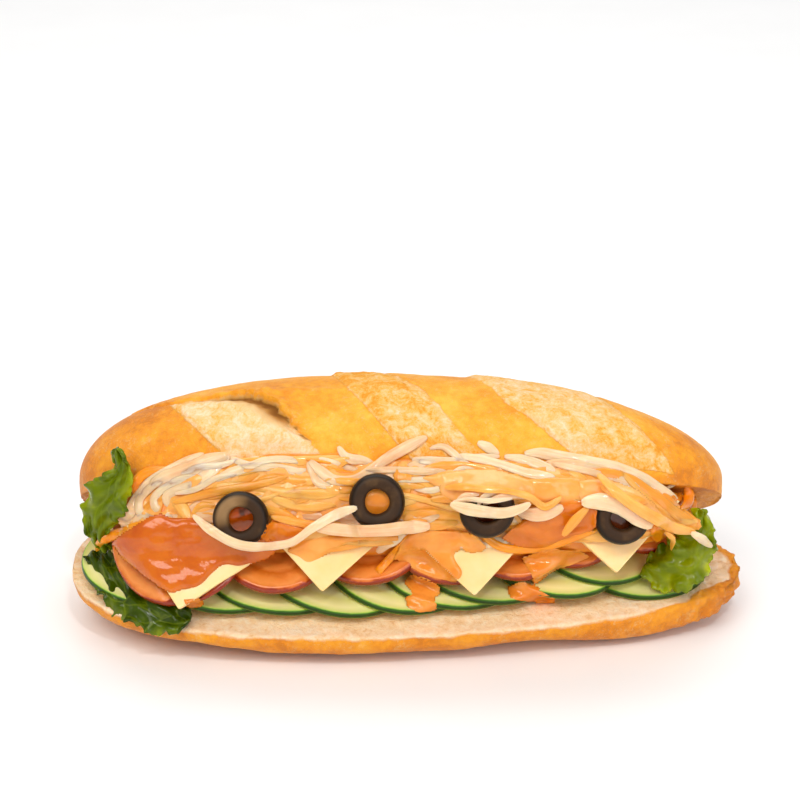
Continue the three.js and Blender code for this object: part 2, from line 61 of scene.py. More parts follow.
# Left and right edge of each slash as (climb, x): climb is 0 low on the front of the lid, 1 on
# its crown and more behind it. The first slash closes under its ear of crust.
SLASHES = (
    (((-0.3, -50), (0, -57), (0.45, -68), (0.74, -73.5), (1, -79)),
     ((-0.14, -22.5), (0.04, -28), (0.24, -34), (0.35, -36), (0.47, -39), (0.58, -43),
      (0.64, -46.4), (0.68, -54), (0.72, -64), (0.78, -73), (1, -92))),
    (((-0.3, 7), (0, -0.5), (0.2, -5.6), (0.5, -12.7), (0.75, -19), (1, -24), (1.3, -30)),
     ((-0.3, 31), (-0.08, 25), (0.11, 19.2), (0.24, 15.9), (0.5, 10.6), (0.71, 4.7),
      (0.92, -3.3), (1, -7), (1.3, -16))),
    (((-0.3, 60), (-0.08, 53.8), (0.17, 45.2), (0.38, 38.7), (0.53, 32), (0.74, 28), (1, 19.5),
      (1.3, 12)),
     ((-0.3, 88), (-0.15, 84.2), (0.15, 79.8), (0.4, 75.3), (0.64, 69), (0.93, 63), (1.3, 52))),
)
SLASH_GOLD = (-0.14, 0.2, 0.03)                 # how much browner the dough of each slash is
SLASH_RISE, EDGE_RISE, SLASH_SLANT, SLANT_SHARE = 1.2, 0.56, 27, 0.72
NO_SLASH = -9.0                                 # mm outside a slash, wherever none is near
CUCUMBER_THICK, TOMATO_THICK, CHEESE_THICK = 2.1, 4.2, 2.2
THINNER = 0.7                                   # every tomato slice but the first, by this much
OLIVE_R, OLIVE_HOLE_R, OLIVE_THICK = 8.6, 3.9, 5
ARCHES = ((2.9, -64, 20), (3.6, 38, 17))        # under the base: how high, where and how wide
CRUMB_LIP = 1.1                                 # crumb that shows below the base's front rim
HEAP_LEFT, HEAP_RIGHT, HEAP_LOW = 92, 96, 32
HEAP_TOP, HEAP_TOP_AT_ENDS, HEAP_BEND = 66, 42, 16
WALL = ((16, -20), (24, -25), (34, -31), (45, -33), (57, -30), (66, -25.5), (72, -21))

# The view that the front coordinates follow.
ELEVATION = math.radians(28)
ALONG = np.array([1.0, 0.0, 0.0])
UP_FRONT = np.array([0.0, math.sin(ELEVATION), math.cos(ELEVATION)])
OUT = np.array([0.0, -math.cos(ELEVATION), math.sin(ELEVATION)])

# ---------------------------------------------------------------- numbers


def mix(a, b, t):
    return a + (b - a) * t


def smooth(low, high, v):
    t = np.clip((v - low) / (high - low), 0, 1)
    return t * t * (3 - 2 * t)


def noise(points, size, seed=0):
    """Smooth noise from about -1 to 1 at points (mm), with its bumps about size mm apart."""
    q = np.asarray(points, float) / size + seed * 17.317
    cell = np.floor(q).astype(np.int64)
    f = q - cell
    u = f * f * f * (f * (f * 6 - 15) + 10)
    total = np.zeros(q.shape[:-1])
    for corner in itertools.product((0, 1), repeat=3):
        c = cell + np.array(corner)
        h = (c[..., 0] * 73856093) ^ (c[..., 1] * 19349663) ^ (c[..., 2] * 83492791)
        h = ((h ^ (h >> 13)) * 1274126177) & 0xFFFFFFFF
        h = ((h ^ (h >> 15)) * 2246822519) & 0xFFFFFFFF
        g = np.stack([(h >> k & 255) / 127.5 - 1 for k in (0, 8, 16)], -1)
        near = np.where(np.array(corner), u, 1 - u)
        total += near.prod(-1) * (g * (f - np.array(corner))).sum(-1)
    return total * 1.5


def spline(places, count):
    """A smooth path of count points through places."""
    p = np.asarray(places, float)
    p = np.vstack([2 * p[0] - p[1], p, 2 * p[-1] - p[-2]])
    t = np.linspace(0, len(p) - 3, count)
    i = np.minimum(t.astype(int), len(p) - 4)
    f = (t - i)[:, None]
    a, b, c, d = p[i], p[i + 1], p[i + 2], p[i + 3]
    return 0.5 * (2 * b + (c - a) * f + (2 * a - 5 * b + 4 * c - d) * f ** 2
                  + (3 * b - a - 3 * c + d) * f ** 3)


def even(path, step):
    """The same path with its points step apart."""
    lengths = np.r_[0, np.cumsum(np.linalg.norm(np.diff(path, axis=0), axis=1))]
    at = np.linspace(0, lengths[-1], max(4, int(lengths[-1] / step)))
    return np.stack([np.interp(at, lengths, path[:, k]) for k in range(path.shape[1])], 1)


def turned(points, roll=0, lean=0, yaw=0, place=(0, 0, 0)):
    """Points rolled about Y, leaned back about X, turned about Z and moved, in degrees and mm."""
    p = np.asarray(points, float)
    for angle, i, j in ((-roll, 0, 2), (lean, 1, 2), (yaw, 0, 1)):
        c, s = math.cos(math.radians(angle)), math.sin(math.radians(angle))
        q = p.copy()
        q[..., i] = c * p[..., i] - s * p[..., j]
        q[..., j] = s * p[..., i] + c * p[..., j]
        p = q
    return p + np.array(place, float)


# ---------------------------------------------------------------- meshes


def grid_faces(rows, cols, ring=False, start=0):
    """Four-sided faces over rows of cols points. In a ring the last column meets the first."""
    i, j = np.meshgrid(np.arange(rows - 1), np.arange(cols if ring else cols - 1), indexing="ij")
    a, b = i * cols + j, i * cols + (j + 1) % cols
    return (np.stack([a, b, b + cols, a + cols], -1).reshape(-1, 4) + start)


def loft(rings, first, last):
    """A closed skin over rings (count x round x 3), with a point closing each end."""
    count, around = rings.shape[:2]
    points = np.vstack([[first], rings.reshape(-1, 3), [last]])
    j = np.arange(around)
    k = (j + 1) % around
    final = 1 + (count - 1) * around
    caps = np.vstack([np.stack([0 * j, 1 + k, 1 + j], 1),
                      np.stack([0 * j + len(points) - 1, final + j, final + k], 1)])
    return points, [grid_faces(count, around, ring=True, start=1), caps]


def grid_normals(grid):
    n = np.cross(np.gradient(grid, axis=0), np.gradient(grid, axis=1))
    return n / np.maximum(np.linalg.norm(n, axis=-1, keepdims=True), 1e-9)


def pillow(grid, thick, soft):
    """A sheet of that thickness over a grid, rounded to a shared edge over its last soft mm."""
    rows, cols = grid.shape[:2]
    down = np.r_[np.zeros((1, cols)), np.linalg.norm(np.diff(grid, axis=0), axis=-1).cumsum(0)]
    over = np.c_[np.zeros((rows, 1)), np.linalg.norm(np.diff(grid, axis=1), axis=-1).cumsum(1)]
    edge = np.minimum(np.minimum(down, down[-1:] - down), np.minimum(over, over[:, -1:] - over))
    half = thick / 2 * np.sqrt(1 - np.clip(1 - edge / soft, 0, 1) ** 2)
    normal = grid_normals(grid)
    upper, lower = grid + normal * half[..., None], grid - normal * half[..., None]
    faces = grid_faces(rows, cols)
    return np.vstack([upper.reshape(-1, 3), lower.reshape(-1, 3)]), \
        [faces, faces[:, ::-1] + rows * cols]


def welded(points, faces):
    """Points that meet are made one, and faces that this closes up are dropped."""
    _, first, number = np.unique(np.round(points, 3), axis=0, return_index=True,
                                 return_inverse=True)
    number = number.ravel()
    kept = []
    for group in faces:
        for face in number[group].tolist():
            face = [v for k, v in enumerate(face) if v != face[k - 1]]
            if len(set(face)) > 2:
                kept.append(face)
    return points[first], kept, first


def with_ends(values):
    """Values over a loft's rings, with the mean of the ring beside it at each closing point."""
    return {key: np.r_[data[0].mean(), data.ravel(), data[-1].mean()]
            for key, data in values.items()}


def fallen(grid):
    """How far each point lies from the first one of its ring, along the ring."""
    steps = np.linalg.norm(np.diff(grid, axis=1), axis=-1).cumsum(1)
    return np.hstack([np.zeros((len(grid), 1)), steps])


def outward(points, faces):
    """Whether the faces of a closed mesh point out."""
    total = 0.0
    for f in faces:
        a, b, c = (points[f[:, k]] for k in range(3))
        total += np.einsum("ij,ij->", a, np.cross(b, c))
        if f.shape[1] == 4:
            total += np.einsum("ij,ij->", a, np.cross(c, points[f[:, 3]]))
    return total > 0


def put(name, data):
    """A new object in the scene."""
    obj = bpy.data.objects.new(name, data)
    bpy.context.scene.collection.objects.link(obj)
    return obj


def store(mesh, values):
    """Keeps named numbers or vectors at the points of a mesh."""
    for key, data in values.items():
        data = np.asarray(data, np.float32)
        kind, field = ("FLOAT", "value") if data.ndim == 1 else ("FLOAT_VECTOR", "vector")
        mesh.attributes.new(key, kind, "POINT").data.foreach_set(field, data.ravel())


def points_of(mesh):
    """The points of a mesh, in mm."""
    co = np.zeros(len(mesh.vertices) * 3)
    mesh.vertices.foreach_get("co", co)
    return co.reshape(-1, 3) / MM


def piece(name, points, faces, material, nodes=(), values=None, weld=True):
    """A finished mesh piece, from points in mm, that stands for those solids."""
    points = np.asarray(points, float)
    faces = [np.asarray(f, int) for f in faces]
    if not outward(points, faces):
        faces = [f[:, ::-1] for f in faces]
    values = values or {}
    if weld:
        points, faces, kept = welded(points, faces)
        values = {key: np.asarray(data)[kept] for key, data in values.items()}
    else:
        faces = [face for f in faces for face in f.tolist()]
    mesh = bpy.data.meshes.new(name)
    mesh.from_pydata((points * MM).tolist(), [], faces)
    store(mesh, values)
    mesh.shade_smooth()
    return dressed(put(name, mesh), material, nodes)


def dressed(obj, material, nodes=()):
    """The piece gets its finish, rides on the sandwich and stands for those solids."""
    obj.data.materials.clear()
    obj.data.materials.append(material)
    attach(obj, "root")
    if nodes:
        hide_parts(*nodes)
    return obj


# ---------------------------------------------------------------- finishes


def linear(code):
    """An sRGB hex colour as Blender's linear values."""
    parts = [int(code[k:k + 2], 16) / 255 for k in (1, 3, 5)]
    return tuple(v / 12.92 if v <= 0.04045 else ((v + 0.055) / 1.055) ** 2.4 for v in parts) + (1,)


def feed(tree, socket, value):
    """Sets an input to a value, or links it to the output that feeds it."""
    if isinstance(value, bpy.types.NodeSocket):
        tree.links.new(value, socket)
    else:
        socket.default_value = value


def add(tree, kind, inputs=None, ramp=None, **settings):
    """Adds a node with its settings, its inputs and the stops of its colour ramp."""
    node = tree.nodes.new(kind)
    for key, value in settings.items():
        setattr(node, key, value)
    for key, value in (inputs or {}).items():
        feed(tree, node.inputs[key], value)
    if ramp:
        points = node.color_ramp.elements
        while len(points) < len(ramp):
            points.new(0.5)
        for point, (at, colour) in zip(points, ramp):
            point.position = at
            point.color = linear(colour)
    return node


class Finish:
    """A material made of a few kinds of node. Each method adds one and gives its output."""

    def __init__(self, name):
        self.material = bpy.data.materials.new(name)
        self.material.use_nodes = True
        self.tree = self.material.node_tree
        self.place = add(self.tree, "ShaderNodeTexCoord").outputs["Object"]

    def value(self, name, output="Fac"):
        """What the mesh keeps under that name."""
        return add(self.tree, "ShaderNodeAttribute", attribute_name=name).outputs[output]

    def third(self, vector):
        return add(self.tree, "ShaderNodeSeparateXYZ", {"Vector": vector}).outputs["Z"]

    def noise(self, size, detail, roughness=0.5, distortion=0.0, along=None):
        """Noise with features about size mm apart, or size apart on coordinates of its own."""
        place, scale = (self.place, 1 / (size * MM)) if along is None else (along, 1 / size)
        return add(self.tree, "ShaderNodeTexNoise",
                   {"Vector": place, "Scale": scale, "Detail": detail, "Roughness": roughness,
                    "Distortion": distortion}).outputs["Fac"]

    def cells(self, along, scale, randomness, feature):
        return add(self.tree, "ShaderNodeTexVoronoi",
                   {"Vector": along, "Scale": scale, "Randomness": randomness},
                   feature=feature).outputs["Distance"]

    def math(self, operation, *inputs):
        return add(self.tree, "ShaderNodeMath", dict(enumerate(inputs)),
                   operation=operation).outputs[0]

    def sum(self, value, share, more):
        """A share of the value, and more."""
        return self.math("MULTIPLY_ADD", value, share, more)

    def span(self, value, low=0.0, high=1.0, first=0.0, last=1.0):
        """The value taken from low..high to first..last, and held there beyond them."""
        return add(self.tree, "ShaderNodeMapRange",
                   {"Value": value, "From Min": low, "From Max": high, "To Min": first,
                    "To Max": last}).outputs["Result"]

    def ramp(self, value, *stops):
        return add(self.tree, "ShaderNodeValToRGB", {"Fac": value}, stops).outputs["Color"]

    def blend(self, share, under, over):
        under, over = (linear(c) if isinstance(c, str) else c for c in (under, over))
        return add(self.tree, "ShaderNodeMix", {0: share, 6: under, 7: over},
                   data_type="RGBA").outputs[2]

    def done(self, colour, roughness, bump=None, specular=None, soft=None, coat=None):
        """The finished material. bump is a height, its strength and its depth in mm; soft is how
        much light goes in and how far in mm each colour travels; coat is weight and roughness."""
        inputs = {"Base Color": colour, "Roughness": roughness}
        if bump:
            height, strength, depth = bump
            inputs["Normal"] = add(self.tree, "ShaderNodeBump", {
                "Height": height, "Strength": strength, "Distance": depth * MM}).outputs["Normal"]
        if specular is not None:
            inputs["Specular IOR Level"] = specular
        if soft:
            inputs["Subsurface Weight"] = soft[0]
            inputs["Subsurface Radius"] = tuple(r * MM for r in soft[1:])
            inputs["Subsurface Scale"] = 1.0
        if coat:
            inputs["Coat Weight"], inputs["Coat Roughness"] = coat
        shader = self.tree.nodes["Principled BSDF"]
        for key, value in inputs.items():
            feed(self.tree, shader.inputs[key], value)
        return self.material


def bread_finish():
    """Baguette: oven-browned crust with a dull glow, floury where the slashes burst open, and a
    matt, open, creamy crumb where the loaf is cut."""
    f = Finish("baked wheat bread")
    slash, crumb, brown, hollow = map(f.value, ("slash_mm", "crumb_mm", "browning", "hollow"))

    # Golden crust, mottled over 11 mm and 2 mm, darker where the browning value is higher: low down
    # and towards the ends, in painted shade over the left of the lid, and lighter where painted
    # light falls over its middle.
    blotch, fine = f.noise(11, 5.0, 0.62), f.noise(2.0, 5.0, 0.72)
    crust = f.ramp(f.sum(fine, 0.60, f.sum(blotch, 0.85, brown)),
                   (0.50, "#fabb3e"), (0.72, "#f4a21a"), (0.90, "#e68c0c"), (1.0, "#d47a08"))
    # Patches of pale flour over 6 mm, broken into grains of about a millimetre.
    dust, patch = f.noise(1.0, 4.0, 0.8), f.noise(6.0, 2.0, distortion=0.4)
    crust = f.blend(f.span(f.sum(patch, 0.5, dust), 0.80, 0.98, last=0.45), crust, "#fbd48a")

    # Burst dough of the slashes: floury cream in torn streaks and specks over gold.
    torn = f.noise(5.0, 7.0, 0.74, 0.8)
    floury = f.ramp(f.sum(brown, -0.6, f.sum(dust, 0.42, torn)),
                    (0.52, "#ec9a28"), (0.61, "#f2b24e"), (0.69, "#f5c27a"), (0.77, "#f7cd96"),
                    (0.90, "#fadeb8"))
    # Painted shadow: dough in the hollow under the ear is painted tan, down to brown at its root,
    # for the shade the ear casts.
    shadow = f.ramp(hollow, (0.0, "#f3cb93"), (0.45, "#e2b578"), (0.8, "#bd8640"),
                    (1.0, "#8a5618"))
    floury = f.blend(f.span(hollow, 0.02, 0.4), floury, shadow)
    inside = f.span(f.sum(fine, 0.9, slash), 0.25, 0.75)
    skin = f.blend(inside, crust, floury)

    # Crumb: pink-beige, open, with soft shallow pores of many sizes.
    pores = f.noise(2.6, 5.0, 0.66, 0.5)
    cream = f.ramp(f.sum(blotch, 0.5, pores),
                   (0.50, "#eab078"), (0.62, "#f7ca98"), (0.74, "#fdd6aa"), (0.9, "#ffe2c2"))
    cut = f.span(f.sum(fine, 1.6, crumb), 0.5, 1.6)

    # Relief: skin wrinkles and blisters, torn flour, and the open pores of the crumb.
    relief = f.sum(f.math("MULTIPLY", torn, inside), 2.4, f.sum(fine, 0.9, dust))
    relief = f.sum(f.math("MULTIPLY", pores, cut), 1.9, relief)
    # The crust glows a little where the crumb and the flour are matt.
    rough = f.span(f.math("MAXIMUM", cut, inside), first=0.46, last=0.9)
    return f.done(f.blend(cut, skin, cream), rough, (relief, 0.7, 0.5), 0.35,
                  (0.12, 2, 1.1, 0.5))


def cucumber_finish():
    """Fresh cut cucumber: wet green skin at the rim, a pale green ring, translucent flesh and
    seeds over the middle. The third part of disc is how far a point is from the rim, in mm."""
    f = Finish("fresh cucumber")
    disc = f.value("disc", "Vector")
    rim, cloud = f.third(disc), f.noise(5, 4.0, 0.6)
    flesh = f.ramp(f.span(f.sum(cloud, 0.7, rim), high=20.0),
                   (0.0, "#1f3d08"), (0.030, "#3c6a0e"), (0.048, "#93b83a"), (0.085, "#dade84"),
                   (0.20, "#f6f0a8"), (0.40, "#ece78c"), (0.52, "#f3eda6"), (1.0, "#e8e084"))
    seed = f.math("MULTIPLY", f.span(f.cells(disc, 0.42, 0.8, "F1"), 0.2, 0.32, 1.0, 0.0),
                  f.span(rim, 8.0, 10.5, last=0.55))
    return f.done(f.blend(seed, flesh, "#eee7ae"), 0.36, (cloud, 0.3, 0.3), 0.3,
                  (0.35, 2.2, 2.4, 1.0))


def tomato_finish():
    """Sliced ripe tomato under thin chilli mayonnaise: dark red skin, flesh glazed orange."""
    f = Finish("sliced tomato")
    cloud = f.noise(6, 4.0, 0.55)
    flesh = f.ramp(f.span(f.sum(cloud, 5.0, f.value("rim_mm")), 2.0, 14.0),
                   (0.0, "#8a2806"), (0.05, "#ac460e"), (0.10, "#cf6c20"), (0.24, "#e48c40"),
                   (0.40, "#dc7c2c"), (0.55, "#c4600f"), (0.70, "#dc8034"), (1.0, "#c2641c"))
    return f.done(flesh, 0.24, (cloud, 0.35, 0.5), soft=(0.25, 3, 0.9, 0.4))


def cheese_finish():
    """Young pressed cheese, cut in thin squares: smooth pale yellow with a faint oily sheen."""
    f = Finish("young pressed cheese")
    tint = f.ramp(f.noise(7, 3.0), (0.3, "#f5cb84"), (0.5, "#f8d190"), (0.72, "#fad79c"))
    return f.done(tint, 0.38, (f.noise(0.8, 2.0), 0.12, 0.2), soft=(0.4, 3, 2, 0.8))


def olive_finish():
    """Pitted black olive in rings: black-brown skin with a low sheen, matt brown cut flesh, paler
    tan on the upper left of a ring, as much as its table gives."""
    f = Finish("black olive")
    cut = f.value("cut")
    flesh = f.ramp(f.sum(f.noise(7, 3.0, 0.55), 0.5, f.value("tan")),
                   (0.15, "#241608"), (0.38, "#392411"), (0.6, "#6a4d2c"), (1.0, "#8f6e48"))
    return f.done(f.blend(cut, "#17100b", flesh), f.span(cut, first=0.34, last=0.55),
                  (f.noise(0.7, 3.0), 0.3, 0.2), 0.2)


def lettuce_finish():
    """Loose-leaf lettuce: bright green blade, paler veins and midrib, waxy and thin. The third
    part of blade is how bright the leaf is there."""
    f = Finish("loose-leaf lettuce")
    blade = f.value("blade", "Vector")
    green = f.ramp(f.sum(f.noise(8, 4.0, 0.6), 0.6, f.third(blade)),
                   (0.10, "#1a2a01"), (0.36, "#3c4f01"), (0.60, "#647301"), (0.85, "#8b9402"),
                   (1.0, "#aab008"))
    veins = f.cells(blade, 1.5, 1.0, "DISTANCE_TO_EDGE")
    return f.done(f.blend(f.span(veins, 0.0, 0.07, 0.22, 0.0), green, "#8fa020"), 0.2,
                  (f.span(veins, high=0.3), 0.22, 0.5), 0.2, (0.25, 0.6, 0.9, 0.1))


def strand_finish(name, low, middle, high, weight):
    """Shredded vegetable in a thin dressing: wet, translucent, lined along its length."""
    f = Finish(name)
    lines = f.noise(1, 3.0, 0.6, along=f.value("lay", "Vector"))
    tone = f.sum(f.noise(9, 3.0), 0.75, f.value("tone"))
    tint = f.ramp(f.sum(lines, 0.55, tone), (0.40, low), (0.72, middle), (1.0, high))
    return f.done(tint, 0.3, (lines, 0.5, 0.35), 0.25, (weight, 3, 1.8, 0.9), (0.5, 0.1))


def sauce_finish():
    """Chilli mayonnaise run thin: smooth and glossy, peach where it is thin over the shreds,
    orange-brown where it pools, and near-black brown as painted shade where it sits in the holes of
    the olives."""
    f = Finish("chilli mayonnaise")
    # The last stop, near-black brown, is reached only in the olives' holes: painted shade.
    tint = f.ramp(f.sum(f.noise(8, 3.0), 0.5, f.value("deep")),
                  (0.12, "#f6b468"), (0.36, "#ef9c3e"), (0.60, "#da7610"), (0.84, "#c65d02"),
                  (0.96, "#b24805"), (1.0, "#5a2406"))
    return f.done(tint, 0.15, (f.noise(4, 2.0, 0.45), 0.45, 1.0), soft=(0.25, 2, 0.9, 0.3))


# ---------------------------------------------------------------- bread


def base_plan(x):
    """Share of full depth that the base keeps at x: blunt on the left, longer on the right."""
    d = x - BASE_BROAD_X
    left = np.clip(-d / (BASE_LEFT + BASE_BROAD_X), 0, 1)
    right = np.clip(d / (BASE_RIGHT - BASE_BROAD_X), 0, 1)
    return np.where(d < 0, (1 - left ** 3) ** (1 / 2.6), (1 - right ** 1.3) ** (1 / 2.7))


def stations(left, right, count):
    s = np.sin((np.arange(1, count) / count - 0.5) * np.pi)
    return np.where(s < 0, s * left, s * right)


def cut_z(y):
    return mix(CUT_FRONT_Z, CUT_BACK_Z, np.clip((y + 34) / 54, 0, 1))


def bread_base(count=420, under=132, top=56):
    """The lower half: a crusty belly, a crumbly cut face, and a torn lip at its right tip."""
    x = stations(BASE_LEFT, BASE_RIGHT, count)[:, None]
    k = base_plan(x)
    end = np.abs(x) / np.where(x < 0, BASE_LEFT, BASE_RIGHT)
    tip = np.where(x < 0, TIP_LEFT_Z, TIP_RIGHT_Z)
    front, back = BASE_FRONT * k, BASE_BACK * k
    belly = np.where(x < 0, (1 - end ** 3) ** 0.65, (1 - end ** 4) ** 0.5)
    belly_back = (1 - end ** 6) ** 0.5
    bluntness = mix(0.62, 0.4, smooth(45, 80, x))
    hollow = sum(high * np.exp(-((x - at) / wide) ** 2) for high, at, wide in ARCHES)
    rim_front, rim_back = mix(RIM_Z, tip, end ** 3), mix(CUT_BACK_Z - 1, tip, end ** 3)

    a = np.linspace(0, np.pi, under)[None, :]
    side = (1 - np.cos(a)) / 2
    y = mix(-front, back, side)
    rim = mix(rim_front, rim_back, side)
    flat = smooth(0.2, 0.45, side)
    floor = mix(tip - 2, hollow * (1 - flat), mix(belly, belly_back, flat)) - 1
    fall = np.minimum(1, mix(1.1, 1.3, flat) * np.sin(a) ** bluntness)
    z = np.maximum(0, rim - (rim - np.maximum(0, floor)) * fall)
    share = np.linspace(1, -1, top + 2)[None, 1:-1]
    cut_y = np.where(share > 0, share * back, share * front)
    knots = [(1, None), (0.75, 1), (0.2, 1), (-0.35, 1), (-0.8, 1), (-1, None)]
    heights = []
    for at, inner in knots:
        if inner is None:
            heights.append(rim_back if at > 0 else rim_front)
        else:
            level = cut_z(at * (back if at > 0 else front))
            heights.append(mix(level, tip, end ** 4))
    cut_height = np.zeros_like(cut_y * x)
    for (hi, _), (lo, _), z_hi, z_lo in zip(knots, knots[1:], heights, heights[1:]):
        t = (hi - share) / (hi - lo)
        cut_height = np.where((t >= 0) & (t <= 1), mix(z_hi, z_lo, t), cut_height)
    grid = np.stack([
        np.broadcast_to(x, (len(x), under + top)),
        np.hstack([y * np.ones_like(x), cut_y]),
        np.hstack([z, cut_height]),
    ], -1)

    # How far each point is from the front rim, inwards on the cut and down the crust.
    drop = fallen(grid[:, :under])
    last = drop[:, -1:]
    crumb = np.hstack([np.where(side < 0.5, CRUMB_LIP, 0.6) - np.minimum(drop, last - drop),
                       np.full((len(x), top), 3.0) + CRUMB_LIP])
    # Torn crust frames the cut at its right tip.
    inwards = np.minimum((1 - np.abs(share)) * np.where(share > 0, back, front), BASE_RIGHT - x)
    crumb[:, under:] = np.minimum(crumb[:, under:],
                                  CRUMB_LIP + inwards - 4.5 * smooth(78, 98, x))
    crumb = crumb + 0.9 * noise(grid, 6, 3)
    crumb += 2.6 * smooth(70, 100, x) * noise(grid, 9, 5)
    crumb[:, :under] -= 4 * smooth(72, 92, x)

    # Swellings and dents, deeper towards the torn right tip; the belly stays flat to the table.
    up = np.clip(grid[..., 2] / 5, 0, 1)
    rough = 0.35 * noise(grid, 14, 7) + 0.18 * noise(grid, 4, 8)
    on_cut = np.hstack([np.zeros((len(x), under)), np.ones((len(x), top))])
    pits = np.minimum(0, noise(grid, 2.3, 9) + 0.15) * 0.6
    ragged = smooth(80, 99, x) * (1.5 * noise(grid, 4.5, 10) + 0.9 * noise(grid, 1.9, 11))
    push = up * (rough + np.where(crumb > 0, pits, 0) + ragged * (1 - 0.55 * on_cut))
    normal = grid_normals(np.concatenate([grid[:, -1:], grid, grid[:, :1]], 1))[:, 1:-1]
    if (normal[len(x) // 2, under // 2] @ np.array([0, 0, -1])) < 0:
        normal = -normal
    grid = grid + normal * push[..., None]
    grid[..., 2] = np.maximum(grid[..., 2], 0)

    low = 1 - np.clip(grid[..., 2] / 12, 0, 1)
    browning = 0.10 + 0.16 * low + 0.10 * end ** 3 + 0.10 * noise(grid, 20, 12)
    values = {"crumb_mm": crumb, "slash_mm": np.full(crumb.shape, NO_SLASH), "browning": browning,
              "hollow": np.zeros(crumb.shape)}
    points, faces = loft(grid, (-BASE_LEFT, 0, TIP_LEFT_Z), (BASE_RIGHT, -4, TIP_RIGHT_Z))
    return points, faces, with_ends(values)


def lid_size(x):
    """The lid's half depth, its height over its bulge, its depth under it and the bulge's own
    height at x. Underneath, the right end is blunter than the left."""
    end = np.minimum(0.9995, np.abs(x) / np.where(x < 0, LID_LEFT, LID_RIGHT))
    wide = (1 - end ** 3.2) ** (1 / 2.8)
    under = (1 - end ** np.where(x < 0, 3.2, 8)) ** (1 / 2.8)
    return (LID_HALF * wide, (LID_CROWN_Z - LID_BULGE_Z) * (1 - end ** 2.2) ** 0.51,
            LID_DEEP * under, mix(LID_BULGE_Z, LID_TIP_Z, end ** 3))


def opened(p):
    """The lid turned up and back about the hinge line."""
    dy, dz = p[..., 1] - HINGE_Y, p[..., 2]
    c, s = math.cos(OPEN_ANGLE), math.sin(OPEN_ANGLE)
    return np.stack([p[..., 0], HINGE_Y + dy * c + dz * s, HINGE_Z - dy * s + dz * c], -1)


def edge_of(edge, climb):
    """Where a slash edge lies along the loaf, and how far off it one step along x takes you."""
    knots, places = np.array(edge).T
    at = np.interp(climb, knots, places)
    slope = (np.interp(climb + 0.03, knots, places) - np.interp(climb - 0.03, knots, places)) / 0.06
    return at, 1 / np.hypot(1, slope / LID_HALF)


